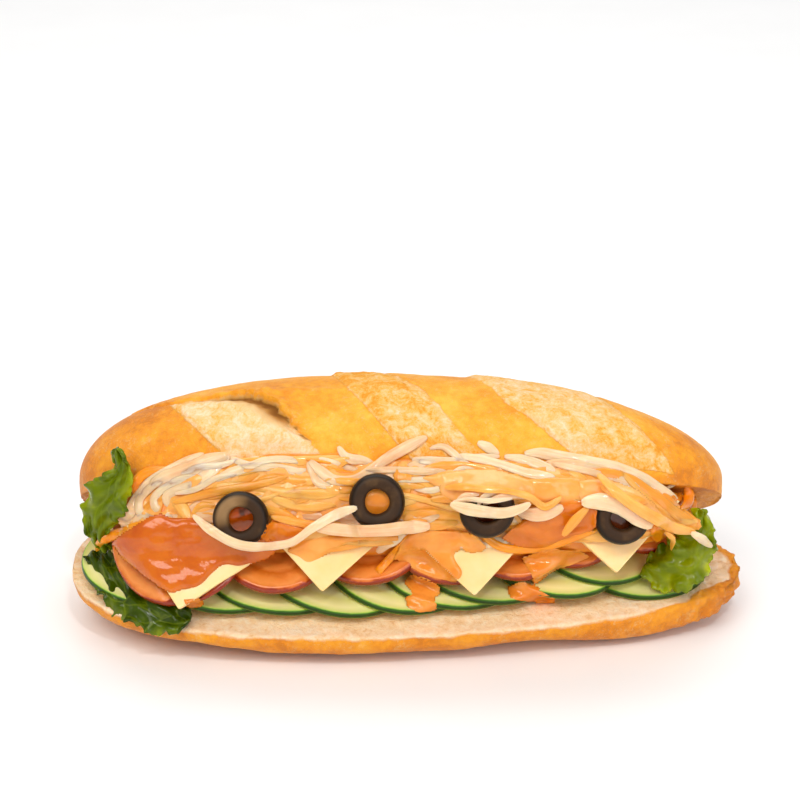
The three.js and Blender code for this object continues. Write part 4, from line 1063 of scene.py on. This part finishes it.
# Shreds that can be told apart: kind, width, and the places they run through in front
# coordinates. The first lie behind the olives, the others over them.
BEHIND = (
    ("sauced", 3.0, ((-62.7, 35.8), (-56, 38.1), (-46.5, 38.6), (-39, 37.2), (-27.8, 36.2),
     (-18.4, 37.2))),
    ("sauced", 3.3, ((-45.6, 39.5), (-40.9, 40.9), (-35.3, 40.4), (-28.3, 40.9))),
    ("sauced", 3.0, ((-41.9, 35.8), (-35.3, 33.4), (-27.8, 32.5), (-20.3, 33.4))),
    ("sauced", 3.6, ((-43.3, 32.6), (-37.2, 29.7), (-32.6, 26.9), (-28, 25.6))),
    ("pale", 2.6, ((-57.9, 40.5), (-53.1, 42.8), (-46.6, 44.4), (-39, 44.4), (-32.5, 43.2),
     (-28.3, 43.5))),
    ("pale", 2.3, ((-53.2, 47.5), (-49.4, 45.8), (-46.6, 45.1), (-42.8, 46.5), (-37.2, 47),
     (-29.7, 46.1))),
    ("pale", 4.3, ((-66.1, 37.6), (-60.8, 41.8), (-56.9, 45.6), (-53.7, 48))),
    ("pale", 2.0, ((-66.7, 44.6), (-63.3, 46.9), (-60.2, 48.6))),
    ("carrot", 2.0, ((-23.6, 44.6), (-20.3, 43.2), (-14.8, 42.3))),
    ("carrot", 1.3, ((-29.8, 47), (-26.1, 46.4), (-22.1, 45.8))),
    ("sauced", 3.0, ((-22.4, 43), (-17.8, 40.6), (-13.2, 41.2), (-9.6, 43.6))),
    ("pale", 2.6, ((-20, 51), (-18.1, 48.2), (-15.7, 47), (-12.3, 46.7), (-8.6, 45.2))),
    ("pale", 3.0, ((-29.2, 46.1), (-27.3, 42.3), (-25.5, 39.5), (-21.8, 38.4))),
    ("spike", 3.0, ((7.3, 53.9), (0.3, 50.3), (-5.3, 47), (-9, 44.2), (-14.7, 40.9),
     (-20.3, 40.4), (-24, 42.3), (-28.7, 46.5))),
    ("sauced", 5.6, ((0.2, 46.4), (-0.1, 41.2), (0.5, 35.4))),
    ("pale", 2.6, ((2.7, 47), (8.4, 46.5), (17.7, 46.1), (20.4, 45.5))),
    ("pale", 2.0, ((8.2, 50.2), (10, 50.8), (12.6, 50.8), (15.4, 48.8), (17.7, 46.5),
     (20.4, 44.9))),
    ("pale", 3.9, ((22.9, 52.2), (26, 50.7), (29.3, 48.5))),
    ("pale", 2.6, ((20.4, 47.9), (25, 47.6), (29.6, 47.9))),
    ("sauced", 3.0, ((3.2, 44.9), (4.6, 41.3), (8.4, 37.6), (12.1, 34.8), (15.5, 32.5))),
    ("sauced", 3.3, ((6.3, 43.7), (11.2, 44.6), (17.7, 44.6), (24.3, 43.2), (29.6, 40.6))),
    ("sauced", 3.0, ((7.6, 41.2), (14.3, 40.6), (21, 41.2), (26.5, 39.7))),
    ("sauced", 2.6, ((0.4, 35.8), (5.1, 34.8), (10.6, 33.1))),
    ("sauced", 2.6, ((29.4, 46.1), (33.9, 43.6), (38.3, 41.8), (42.6, 43.2), (48.2, 44.2))),
    ("pale", 3.0, ((31.1, 47.9), (36.5, 47), (41.2, 45.6), (46.5, 43.3))),
    ("sauced", 2.6, ((39.3, 39.5), (44, 40.9), (50.6, 40), (55.3, 38.6), (60, 39.1))),
    ("sauced", 3.0, ((29.6, 39.7), (35.7, 41.2), (41.8, 38.4), (49.5, 36.9))),
    ("sauced", 2.3, ((41.2, 32), (48.2, 33.9), (55.3, 35.8), (61.9, 38.5))),
    ("sauced", 3.3, ((-2.2, 26.8), (4.5, 27.1), (10.3, 26.8), (16.8, 27.6))),
    ("pale", 3.3, ((-8.1, 18.2), (-3.5, 21.9), (1.3, 24.4))),
    ("carrot", 2.6, ((23.5, 24.4), (28.2, 21), (33, 19.4), (39.1, 19.3), (46.2, 20.7),
     (52.7, 23), (57.4, 25), (61.8, 26.5))),
    ("carrot", 2.3, ((32.1, 26.2), (35.8, 26.4), (40.1, 25.9))),
    ("carrot", 1.0, ((38.1, 21.3), (40.4, 24.7), (43.5, 28.1))),
    ("carrot", 2.6, ((-39.8, 30.2), (-39.7, 25.6))),
    ("pale", 3.3, ((37.3, 48.9), (42.6, 48.9), (49.6, 47.5), (57.2, 46.2), (64.8, 44.9),
     (70.3, 43.2), (75, 41), (79.8, 37.9), (85.4, 34.8))),
    ("pale", 3.0, ((43.4, 45.8), (51.1, 45.5), (58.8, 44.3), (65.9, 42.8))),
    ("sauced", 3.9, ((56, 42.4), (63.6, 41.9), (69.9, 40.4), (74.4, 37.9), (79.1, 34.8),
     (83.1, 31.4), (91.5, 26))),
    ("sauced", 2.6, ((48.7, 44.7), (52.9, 42.3), (57.6, 38.6), (62.4, 35.3), (67.3, 32))),
    ("carrot", 3.0, ((83.4, 35.3), (86.3, 35.2), (88, 37))),
    ("carrot", 3.6, ((86.5, 31.4), (89, 33.5), (90.1, 36.4), (88.9, 38.6))),
    ("carrot", 4.3, ((76.4, 27.4), (78.7, 24.7), (80.6, 21.5))),
    ("pale", 2.0, ((81.8, 38.1), (84.8, 39.3))),
    ("carrot", 2.6, ((-83.4, 35.1), (-83.2, 39.5), (-80.3, 42.8), (-75.8, 43.7), (-71.4, 44.3))),
    ("pale", 3.3, ((-88, 25.9), (-85.2, 30.6), (-82.6, 35.3), (-79.2, 39.3), (-74.4, 42.4),
     (-68, 45.8), (-61.5, 48.7))),
    ("pale", 4.6, ((-78.4, 39.4), (-71.2, 42), (-64.8, 44.3), (-60, 46.6), (-54, 48.1))),
    ("pale", 2.3, ((-70.7, 27.9), (-75.1, 27.9), (-79.2, 29), (-82, 31), (-82.1, 34.9),
     (-79, 38.1), (-74.4, 40.7))),
    ("pale", 2.6, ((-71, 28.7), (-74.5, 30.5), (-77.1, 32.6), (-77.3, 35.3), (-74.4, 38),
     (-69.5, 40.4), (-63.6, 41.9))),
    ("pale", 3.0, ((-69.3, 31.4), (-72.8, 33.6), (-73, 36), (-69.8, 37.6), (-65.5, 38.8),
     (-61.7, 41.1))),
    ("sauced", 4.3, ((-71.2, 34.8), (-67.8, 31.4), (-65.6, 27.4))),
    ("sauced", 2.6, ((-65, 30.2), (-62.4, 32.7), (-58.1, 33))),
    ("carrot", 2.6, ((-98, 18.5), (-95.3, 21.3), (-92.7, 22.9), (-87.2, 25), (-81.2, 26.7),
     (-75.8, 26.8))),
    ("carrot", 2.6, ((-11.7, 8.5), (-7.2, 13.1), (-1.9, 19.1), (2.4, 24.1))),
    ("carrot", 2.0, ((-70.2, 12.6), (-63.4, 14.9), (-56.2, 17.2), (-50.6, 17.2))),
)
ACROSS = (
    ("pale", 4.4, ((34.6, 31.0), (39.4, 30.0), (44.2, 30.6), (48.8, 32.4))),
    ("sauced", 3.6, ((49, 23.5), (52.6, 28.3), (56.6, 32.4))),
    ("sauced", 2.8, ((-40.5, 29.4), (-33, 27.8), (-26.5, 26.6), (-19, 27.2))),
    ("pale", 4.3, ((-27.1, 26.1), (-20.8, 25.5), (-13.8, 25), (-5.3, 25.3), (1.5, 26.1),
     (8.2, 26.4))),
    ("pale", 2.0, ((15.8, 33.6), (18.6, 35.7), (22.9, 36))),
    ("pale", 2.0, ((22.6, 32.6), (24.3, 35.4), (29.3, 37.2))),
    ("pale", 2.3, ((24.3, 33.1), (29, 35.1), (33.7, 35.8), (37.9, 35.1))),
    ("sauced", 2.3, ((12.6, 38.1), (18.7, 38.4), (25.2, 37.6), (31.7, 37.2), (38.3, 35.3),
     (42.6, 32.5), (44.9, 33), (48.3, 35.4))),
    ("pale", 1.6, ((15, 33.9), (20, 34.6), (26, 34.2), (33, 34.9))),
    ("pale", 3.6, ((14.2, 33.2), (18.6, 31.9), (24.2, 30.9), (30.3, 30.5), (35, 31.6),
     (38.6, 33.4))),
    ("pale", 5.9, ((54.4, 33.7), (59.8, 34), (64.8, 33), (69.8, 30.5), (76.3, 26.5))),
    ("sauced", 3.0, ((60.3, 38.8), (64.7, 36.3), (69.1, 35.1), (74.5, 33.6))),
    ("sauced", 3.6, ((59.4, 42.4), (62.8, 38.8), (66.3, 35.4), (70.7, 32.2), (76.6, 29.1),
     (83.4, 26), (91, 24.4))),
    ("pale", 3.3, ((89.3, 24.4), (92.9, 22.5), (97, 19.9))),
    ("sauced", 2.6, ((81, 24.6), (83.4, 22.4), (83.8, 19))),
    ("hero", 3.0, ((-64.5, 29.8), (-60.2, 26.5), (-55.2, 23.2), (-50.4, 21), (-45.4, 20.2),
     (-39.3, 20.5), (-33.6, 21.8), (-28.3, 25.5), (-23.1, 28.7), (-18.5, 30.8), (-14, 32.1))),
)


def strand_tree(material):
    """Sweeps a rounded strip along every path of a mesh of edges."""
    tree = bpy.data.node_groups.new("shreds along paths", "GeometryNodeTree")
    sockets = {}
    tree.interface.new_socket("Geometry", in_out="INPUT", socket_type="NodeSocketGeometry")
    for name, value in (("Width", 1.0), ("Flatness", 0.4), ("Corner", 0.16)):
        socket = tree.interface.new_socket(name, in_out="INPUT", socket_type="NodeSocketFloat")
        socket.default_value = value
        sockets[name] = socket.identifier
    tree.interface.new_socket("Geometry", in_out="OUTPUT", socket_type="NodeSocketGeometry")
    given = add(tree, "NodeGroupInput").outputs

    def read(name, kind="FLOAT"):
        return add(tree, "GeometryNodeInputNamedAttribute", {"Name": name},
                   data_type=kind).outputs["Attribute"]

    def times(value, factor):
        return add(tree, "ShaderNodeMath", {0: value, 1: factor}, operation="MULTIPLY").outputs[0]

    curve = add(tree, "GeometryNodeMeshToCurve", {"Mesh": given["Geometry"]}).outputs["Curve"]
    curve = add(tree, "GeometryNodeSetCurveNormal",
                {"Curve": curve, "Normal": read("facing", "FLOAT_VECTOR")},
                mode="FREE").outputs["Curve"]
    strip = add(tree, "GeometryNodeCurvePrimitiveQuadrilateral",
                {"Width": given["Flatness"], "Height": 1.0}, mode="RECTANGLE").outputs["Curve"]
    strip = add(tree, "GeometryNodeFilletCurve", {"Curve": strip, "Count": 1,
                                                  "Radius": given["Corner"],
                                                  "Limit Radius": True}, mode="POLY")
    turn = add(tree, "GeometryNodeSplineParameter").outputs["Factor"]
    strip = add(tree, "GeometryNodeStoreNamedAttribute",
                {"Geometry": strip.outputs["Curve"], "Name": "around", "Value": turn},
                data_type="FLOAT", domain="POINT").outputs["Geometry"]
    swept = add(tree, "GeometryNodeCurveToMesh", {"Curve": curve, "Profile Curve": strip,
                                                  "Scale": times(read("wide"), given["Width"]),
                                                  "Fill Caps": True})
    # Lines run along each strand, close together round it, and differ from strand to strand.
    lay = add(tree, "ShaderNodeCombineXYZ", {
        "X": times(read("run"), 0.11), "Y": times(read("around"), 9.0),
        "Z": times(read("tone"), 60.0)}).outputs[0]
    swept = add(tree, "GeometryNodeStoreNamedAttribute",
                {"Geometry": swept.outputs["Mesh"], "Name": "lay", "Value": lay},
                data_type="FLOAT_VECTOR", domain="POINT").outputs["Geometry"]
    real = add(tree, "GeometryNodeRealizeInstances", {"Geometry": swept}).outputs["Geometry"]
    done = add(tree, "GeometryNodeSetMaterial", {"Geometry": real, "Material": material})
    add(tree, "NodeGroupOutput", {"Geometry": done.outputs["Geometry"]})
    return tree, sockets


def strand_piece(name, paths, material, flatness):
    """One kind of shred as a plain mesh, swept along its paths."""
    points, edges, facing, wide, tone, run = [], [], [], [], [], []
    for middle, face, width, shade in paths:
        start = len(points)
        points += (middle * MM).tolist()
        edges += [(start + k, start + k + 1) for k in range(len(middle) - 1)]
        facing += face.tolist()
        wide += (width * MM).tolist()
        tone += [shade] * len(middle)
        run += (np.arange(len(middle)) * STEP).tolist()
    mesh = bpy.data.meshes.new(name)
    mesh.from_pydata(points, edges, [])
    store(mesh, {"facing": facing, "wide": wide, "tone": tone, "run": run})
    obj = put(name, mesh)
    tree, sockets = strand_tree(material)
    modifier = obj.modifiers.new("shreds", "NODES")
    modifier.node_group = tree
    modifier[sockets["Width"]] = 1.0
    modifier[sockets["Flatness"]] = flatness
    modifier[sockets["Corner"]] = flatness * 0.4
    view = bpy.context.evaluated_depsgraph_get()
    swept = bpy.data.meshes.new_from_object(obj.evaluated_get(view))
    obj.modifiers.clear()
    obj.data = swept
    swept.shade_smooth()
    return dressed(obj, material, ["shreds"])


PALE = strand_finish("pickled daikon and onion", "#e09c68", "#f0bd90", "#f8d2aa", 0.5)
SAUCED = strand_finish("dressed daikon", "#e6861c", "#f29c36", "#f9b056", 0.4)
CARROT = strand_finish("shredded carrot", "#e87404", "#f48c08", "#fa9c14", 0.3)
GLAZE = sauce_finish()


def evened(values, passes):
    for _ in range(passes):
        for axis in (0, 1):
            values = (np.roll(values, 1, axis) + 2 * values + np.roll(values, -1, axis)) / 4
    return values


def spread(values, reach):
    """The highest of the values within reach cells each way."""
    for axis in (0, 1):
        values = np.max([np.roll(values, k, axis) for k in range(-reach, reach + 1)], axis=0)
    return values


SHOULDER, TUCK, ROOT = 0.45, -0.25, 1.3         # of a film's edge: see film()


def film(name, amount, thick, passes, dip, bridge, deep, reach=0, ripple=0.0):
    """Sauce wherever amount is above nought. It clings to whatever is there, lets crests up to
    dip mm high through, spans hollows up to bridge mm deep, and thins out until its edge runs
    under the surface it lies on. Deep sauce is browner. It is at full thickness from SHOULDER
    up, ends at TUCK, and goes ROOT mm down behind its face."""
    ground = evened(spread(heights, reach), passes)
    ground = np.minimum(ground, spread(heights, reach) + bridge)
    ground = evened(np.maximum(ground, heights - dip), 2)
    if dip <= 0:
        ground = np.maximum(ground, heights)
    rise = np.where(amount > 0, 1 - (1 - np.clip(amount / SHOULDER, 0, 1)) ** 2,
                    amount / (SHOULDER / 2))
    waves = np.stack([grid_x / 2, grid_u, 0 * grid_x], -1)
    surface = ground + (thick + ripple * noise(waves, 2.4, 15)) * rise
    inside = amount > TUCK
    inner = inside.copy()
    for step, axis in ((1, 0), (-1, 0), (1, 1), (-1, 1)):
        inner &= np.roll(inside, step, axis)
    at = grid_x[..., None] * ALONG + grid_u[..., None] * UP_FRONT
    upper = (at + surface[..., None] * OUT)[inside]
    lower = (at + (surface - np.where(inner, ROOT + thick, 0))[..., None] * OUT)[inside]
    number = np.full(inside.shape, -1)
    number[inside] = np.arange(inside.sum())
    quads = np.stack([number[:-1, :-1], number[:-1, 1:], number[1:, 1:], number[1:, :-1]], -1)
    quads = quads.reshape(-1, 4)
    quads = quads[(quads >= 0).all(1)]
    used = np.unique(quads)
    remap = np.full(inside.sum(), -1)
    remap[used] = np.arange(len(used))
    quads = remap[quads]
    np.maximum(heights, np.where(inner & (amount > 0), surface, -99), out=heights)
    return piece(name, np.vstack([upper[used], lower[used]]),
                 [quads, quads[:, ::-1] + len(used)], GLAZE,
                 values={"deep": np.tile((deep + 0 * grid_x)[inside][used], 2)})


def inside_of(outline):
    """How many mm each cell lies inside a smooth closed outline, below nought outside it."""
    ring = spline(outline + outline[:1], 8 * len(outline))
    nearest = np.full(grid_x.shape, 1e9)
    inside = np.zeros(grid_x.shape, bool)
    for (x0, u0), (x1, u1) in zip(ring, np.roll(ring, -1, 0)):
        dx, du = x1 - x0, u1 - u0
        t = np.clip(((grid_x - x0) * dx + (grid_u - u0) * du) / max(dx * dx + du * du, 1e-9), 0, 1)
        nearest = np.minimum(nearest, np.hypot(grid_x - x0 - t * dx, grid_u - u0 - t * du))
        crosses = (u0 > grid_u) != (u1 > grid_u)
        inside ^= crosses & (grid_x < x0 + (grid_u - u0) / (du if du else 1e-9) * dx)
    return np.where(inside, nearest, -nearest)


from_olives = np.array([np.hypot(grid_x - x, grid_u - up_front(y, z)) for x, y, z, *_ in OLIVES])


def spilled(name, spills, thick, passes, bridge, reach=0, off_olives=True):
    """Pools of sauce, each a shade and an outline, that cover whatever is there."""
    spots = np.stack([grid_x, grid_u, 0 * grid_x], -1)
    fields = np.array([inside_of(outline) for _, outline in spills])
    amount = fields.max(0) / 3 + 0.14 * noise(spots, 6, 3)
    deep = evened(np.array([shade for shade, _ in spills])[fields.argmax(0)], 4)
    for away in from_olives if off_olives else ():
        amount = np.minimum(amount, (away - OLIVE_R + 0.4) / 4)
    film(name, amount, thick, passes, dip=0.0, bridge=bridge, deep=deep, reach=reach, ripple=0.3)


core_points, core_faces = heap_core()
piece("heap_core", core_points, core_faces, SAUCED, ["shreds"],
      {"tone": np.full(len(core_points), -0.25), "lay": core_points / 3}, weld=False)

pieces = {obj.name: obj for obj in bpy.data.objects if obj.type == "MESH"}
laid = [obj for name, obj in pieces.items() if not obj.hide_render and "olive" not in name]
heights = np.full((len(map_u), len(map_x)), -30.0)
probe(surface_of(*laid), heights)
ceiling = cap_map() + 0.6

TOP_EDGE = ((-86, -84, -62, -47, 0, 47, 62, 69, 87, 94),
            (30, 37, 47, 48, 48.5, 48, 45.5, 42.5, 33.5, 28))
LOW_EDGE = ((-86, -62, 0, 50, 70, 88), (24, 21, 21.5, 22, 25, 27))
FAN = ((-90, -60, -20, 20, 60, 90), (48, 24, 4, -3, -18, -38))   # how the shreds lie, in degrees

STRANDS, FINE_STRANDS, SEED = 120, 24, 77
draw = np.random.default_rng(SEED)
for _ in range(STRANDS):
    x = draw.uniform(-84, 90)
    low, high = np.interp(x, *LOW_EDGE), np.interp(x, *TOP_EDGE)
    u = mix(low + 1.5, high - 1.0, draw.uniform())
    angle = math.radians(np.interp(x, *FAN) + draw.normal(0, 13))
    reach = draw.uniform(13, 30) * (0.7 if abs(x) > 70 else 1)
    bow = draw.normal(0, 2.2)
    t = np.array([-1, -0.4, 0.3, 1])
    px = np.clip(x + t * reach * math.cos(angle), -89, 93)
    pu = u + t * reach * math.sin(angle) + bow * (1 - t * t)
    pu -= np.maximum(0, pu - np.interp(px, *TOP_EDGE) + draw.uniform(0, 2)).max()
    pu = np.maximum(pu, np.interp(px, *LOW_EDGE))
    places = list(zip(px, pu))
    kind = draw.choice(["sauced", "pale", "carrot"], p=[0.80, 0.14, 0.06])
    lay(str(kind), draw.uniform(2.8, 5.4) if kind != "carrot" else draw.uniform(1.6, 2.4), places,
        draw.uniform(-0.15, 0.3), ceiling=ceiling)

# Pools of sauce: how deep, and their outlines in front coordinates.
POOL = ((0.56, ((-90.5, 20.8), (-87.5, 17.0), (-82.8, 13.4), (-78.4, 10.4), (-74.8, 8.0),
                (-71.6, 6.2), (-69.3, 7.0), (-63.5, 8.4), (-59.0, 12.4), (-55.0, 15.2),
                (-50.5, 14.6), (-46.5, 15.4), (-41.8, 17.0), (-39.6, 19.4), (-41.5, 22.4),
                (-49.9, 22.8), (-55.5, 24.2), (-60.8, 27.2), (-65.5, 28.7), (-71.1, 28.4),
                (-74.9, 29.7), (-79.2, 28.4), (-83.6, 25.4), (-88.0, 23.0))),)
SPILLS = (
    (0.15, ((-35.9, 18.7), (-27.5, 23), (-18.7, 23.3), (-8.7, 23), (-2.5, 23), (-3.7, 22.1),
            (-15, 22.1), (-20.6, 19.9), (-25.6, 16.9), (-29.3, 15.7), (-32.4, 17.5))),
    (0.30, ((-68, 4.1), (-63.6, 4.1), (-62.4, 2.6), (-63.6, 1.4), (-66.8, 1.7))),
    (0.15, ((0.6, 9), (3.7, 10.8), (8.7, 9.6), (11.2, 6.6), (9.4, 4.7), (3.7, 5.9))),
    (0.25, ((1.2, 4.1), (3.7, 5.3), (7.5, 4.7), (10.3, 2.3), (9.4, 0.5), (5, -0.4), (1.9, 1.7))),
    (0.18, ((-2.5, 16.3), (0, 20.8), (3.1, 23.9), (12.5, 24.8), (18.1, 23.6), (17.5, 19.9),
            (15.6, 17.5), (18.1, 12.6), (16.2, 9.6), (10, 10.2), (4.7, 12.6), (1.2, 15.7))),
    (0.12, ((15, 23.6), (21.2, 23.6), (25, 19.9), (21.8, 18.7), (18.1, 19.9))),
    (0.40, ((31.2, 23), (37.4, 28.4), (45.2, 33), (56.2, 34.5), (59.3, 30), (57.7, 25.4),
            (49.9, 22.4), (42.1, 19.9), (35.9, 20.5))),
    (0.24, ((37.4, 16.3), (43.7, 18.7), (52.6, 18.7), (57.6, 17.3), (57.8, 16.3), (53, 14.2),
            (47.0, 12.4), (42.3, 9.2), (40.4, 10), (39.4, 12.9))),
    (0.30, ((33.4, 6.9), (36.8, 8.4), (40.7, 7.5), (45.0, 5.0), (47.6, 3.5), (46.8, 2.1),
            (41.2, 2.7), (35.0, 3.4))),
    (0.02, ((6.2, 41.2), (12.5, 43), (21.8, 43.6), (31.2, 41.8), (37.4, 40.6), (49.9, 41.2),
            (59.3, 39.4), (62.4, 37), (53, 34.5), (43.7, 33.9), (34.3, 35.7), (21.8, 37),
            (12.5, 38.2))),
    (0.30, ((-43, 27), (-36, 27.5), (-30, 25.5), (-33, 22.5), (-40, 21.8), (-44, 23.5))),
)

VEILS = (
    (-0.05, ((12, 42), (20, 43.5), (30, 43), (38, 40), (40, 36.5), (36, 34.6), (30, 35.4),
             (24, 35.0), (17, 34.2), (12, 36.5))),
    (-0.05, ((54, 40), (62, 40.5), (70, 38), (76, 34), (80, 29), (76.5, 28.4), (71, 31.2),
             (65, 33.2), (59, 33.2), (54.5, 34.5))),
)

for kind, wide, places in BEHIND:
    lifted = kind == "spike"
    lay("pale" if lifted else kind, wide * 1.1, places, draw.uniform(0.0, 0.3),
        ceiling=ceiling + (4.0 if lifted else 1.6), rise=1.0 if lifted else 0.0)

# Dressing fills the hollows between the shreds over most of the heap's front.
over_heap = np.minimum(grid_u - np.interp(grid_x, *LOW_EDGE) - 0.5,
                       np.interp(grid_x, *TOP_EDGE) - 3.0 - grid_u)
over_heap = np.minimum(over_heap, 84 - np.abs(grid_x)) / 6
spots = np.stack([grid_x / 2.2, grid_u, 0 * grid_x], -1)
amount = np.minimum(over_heap, 0.70 + 0.8 * noise(spots, 7, 8))
film("dressing", amount, thick=0.35, passes=5, dip=0.45, bridge=0.6,
     deep=0.10 * noise(spots, 9, 9) - 0.02, ripple=0.35)

# A few fine shreds lie on the dressing, and sauce shows through the holes of the olives.
for _ in range(FINE_STRANDS):
    x = draw.uniform(-74, 82)
    low, high = np.interp(x, *LOW_EDGE) + 3, np.interp(x, *TOP_EDGE) - 2
    u = mix(low, high, draw.uniform())
    angle = math.radians(np.interp(x, *FAN) + draw.normal(0, 9))
    t = np.array([-1, -0.3, 0.4, 1])
    reach, bow = draw.uniform(9, 20), draw.normal(0, 1.8)
    px = np.clip(x + t * reach * math.cos(angle), -86, 92)
    pu = u + t * reach * math.sin(angle) + bow * np.sin(2.4 * t)
    pu -= np.maximum(0, pu - np.interp(px, *TOP_EDGE)).max()
    pu = np.maximum(pu, np.interp(px, *LOW_EDGE) + 1)
    kind = "pale" if draw.uniform() < (0.8 if u > high - 6 else 0.1) else "sauced"
    lay(kind, draw.uniform(1.4, 3.2), list(zip(px, pu)), draw.uniform(-0.1, 0.35), thick=0.6,
        ceiling=ceiling + 0.8, press=0.5)
# Above 0.96 the sauce in a ring's hole is painted near-black brown, as painted shade inside the
# hole; the last two olives get it.
IN_OLIVES = np.array([0.66, 0.24, 1.2, 1.2])    # how brown the sauce is behind each ring
film("sauce_in_olives", 1 - from_olives.min(0) / 6, thick=0.6, passes=10, dip=0.0, bridge=1.5,
     deep=IN_OLIVES[from_olives.argmin(0)], reach=2)
spilled("sauce_pool", POOL, thick=0.7, passes=40, bridge=5.0, reach=7)

probe(surface_of(*[obj for name, obj in pieces.items()
                   if "olive" in name and not obj.hide_render]), heights)
spilled("sauce", SPILLS, thick=0.55, passes=6, bridge=0.9, reach=1)
spilled("veil", VEILS, thick=0.5, passes=12, bridge=3.0, reach=2, off_olives=False)
for kind, wide, places in ACROSS:
    lay("pale" if kind == "hero" else kind, wide, places, draw.uniform(0.05, 0.3),
        press=1.0, clear=4 if kind == "hero" else 3)

strand_piece("daikon_and_onion", strands["pale"], PALE, flatness=0.22)
strand_piece("dressed_daikon", strands["sauced"], SAUCED, flatness=0.28)
strand_piece("carrot", strands["carrot"], CARROT, flatness=0.5)

# ---------------------------------------------------------------- table, light and view

TABLE_HALF = 3                                  # metres, well past the view
table = bpy.data.meshes.new("table_top")
table.from_pydata([(x * TABLE_HALF, y * TABLE_HALF, 0)
                   for x, y in ((-1, -1), (1, -1), (1, 1), (-1, 1))], [], [(0, 1, 2, 3)])
paper = Finish("white paper")
table.materials.append(paper.done(
    paper.ramp(paper.noise(40, 2.0), (0.0, "#f2f2f2"), (1.0, "#f6f6f6")), 0.9))
floor = put("table_top", table)


def aimed(obj, place, towards):
    obj.location = place
    obj.rotation_euler = (towards - place).to_track_quat("-Z", "Y").to_euler()
    return obj


def soft_light(name, place, towards, size, power, colour):
    light = bpy.data.lights.new(name, "AREA")
    light.shape = "RECTANGLE"
    light.size, light.size_y = size
    light.energy = power
    light.color = linear(colour)[:3]
    aimed(put(name, light), Vector(place), Vector(towards))


soft_light("key", (-0.45, -0.75, 1.0), (0, 0, 0.03), (0.8, 0.6), 8.5, "#fffaf2")
soft_light("sparkle", (0.15, -0.7, 1.0), (0, 0, 0.03), (0.10, 0.06), 2.6, "#ffffff")
soft_light("fill", (0.75, -0.85, 0.55), (0, 0, 0.03), (0.8, 0.8), 4.5, "#f8faff")
soft_light("overhead", (0.0, 0.7, 1.1), (0, 0.4, 0.0), (1.6, 0.8), 8.5, "#ffffff")

world = bpy.data.worlds.new("studio")
world.use_nodes = True
background = world.node_tree.nodes["Background"].inputs
background["Color"].default_value = (1, 1, 1, 1)
background["Strength"].default_value = 0.42
scene = bpy.context.scene
scene.world = world
scene.view_settings.view_transform = "Standard"

# The camera looks along the front coordinates' way out, from over the table's near edge.
CAMERA_AWAY, AIM_RISE, LENS, SENSOR = 0.720, 0.038, 100, 36
aim_low = Vector((-0.001, 0.002, 0.032))
camera_data = bpy.data.cameras.new("camera")
camera_data.lens, camera_data.sensor_width = LENS, SENSOR
scene.camera = aimed(put("camera", camera_data), aim_low + Vector(OUT) * CAMERA_AWAY,
                     aim_low + Vector(UP_FRONT) * AIM_RISE)
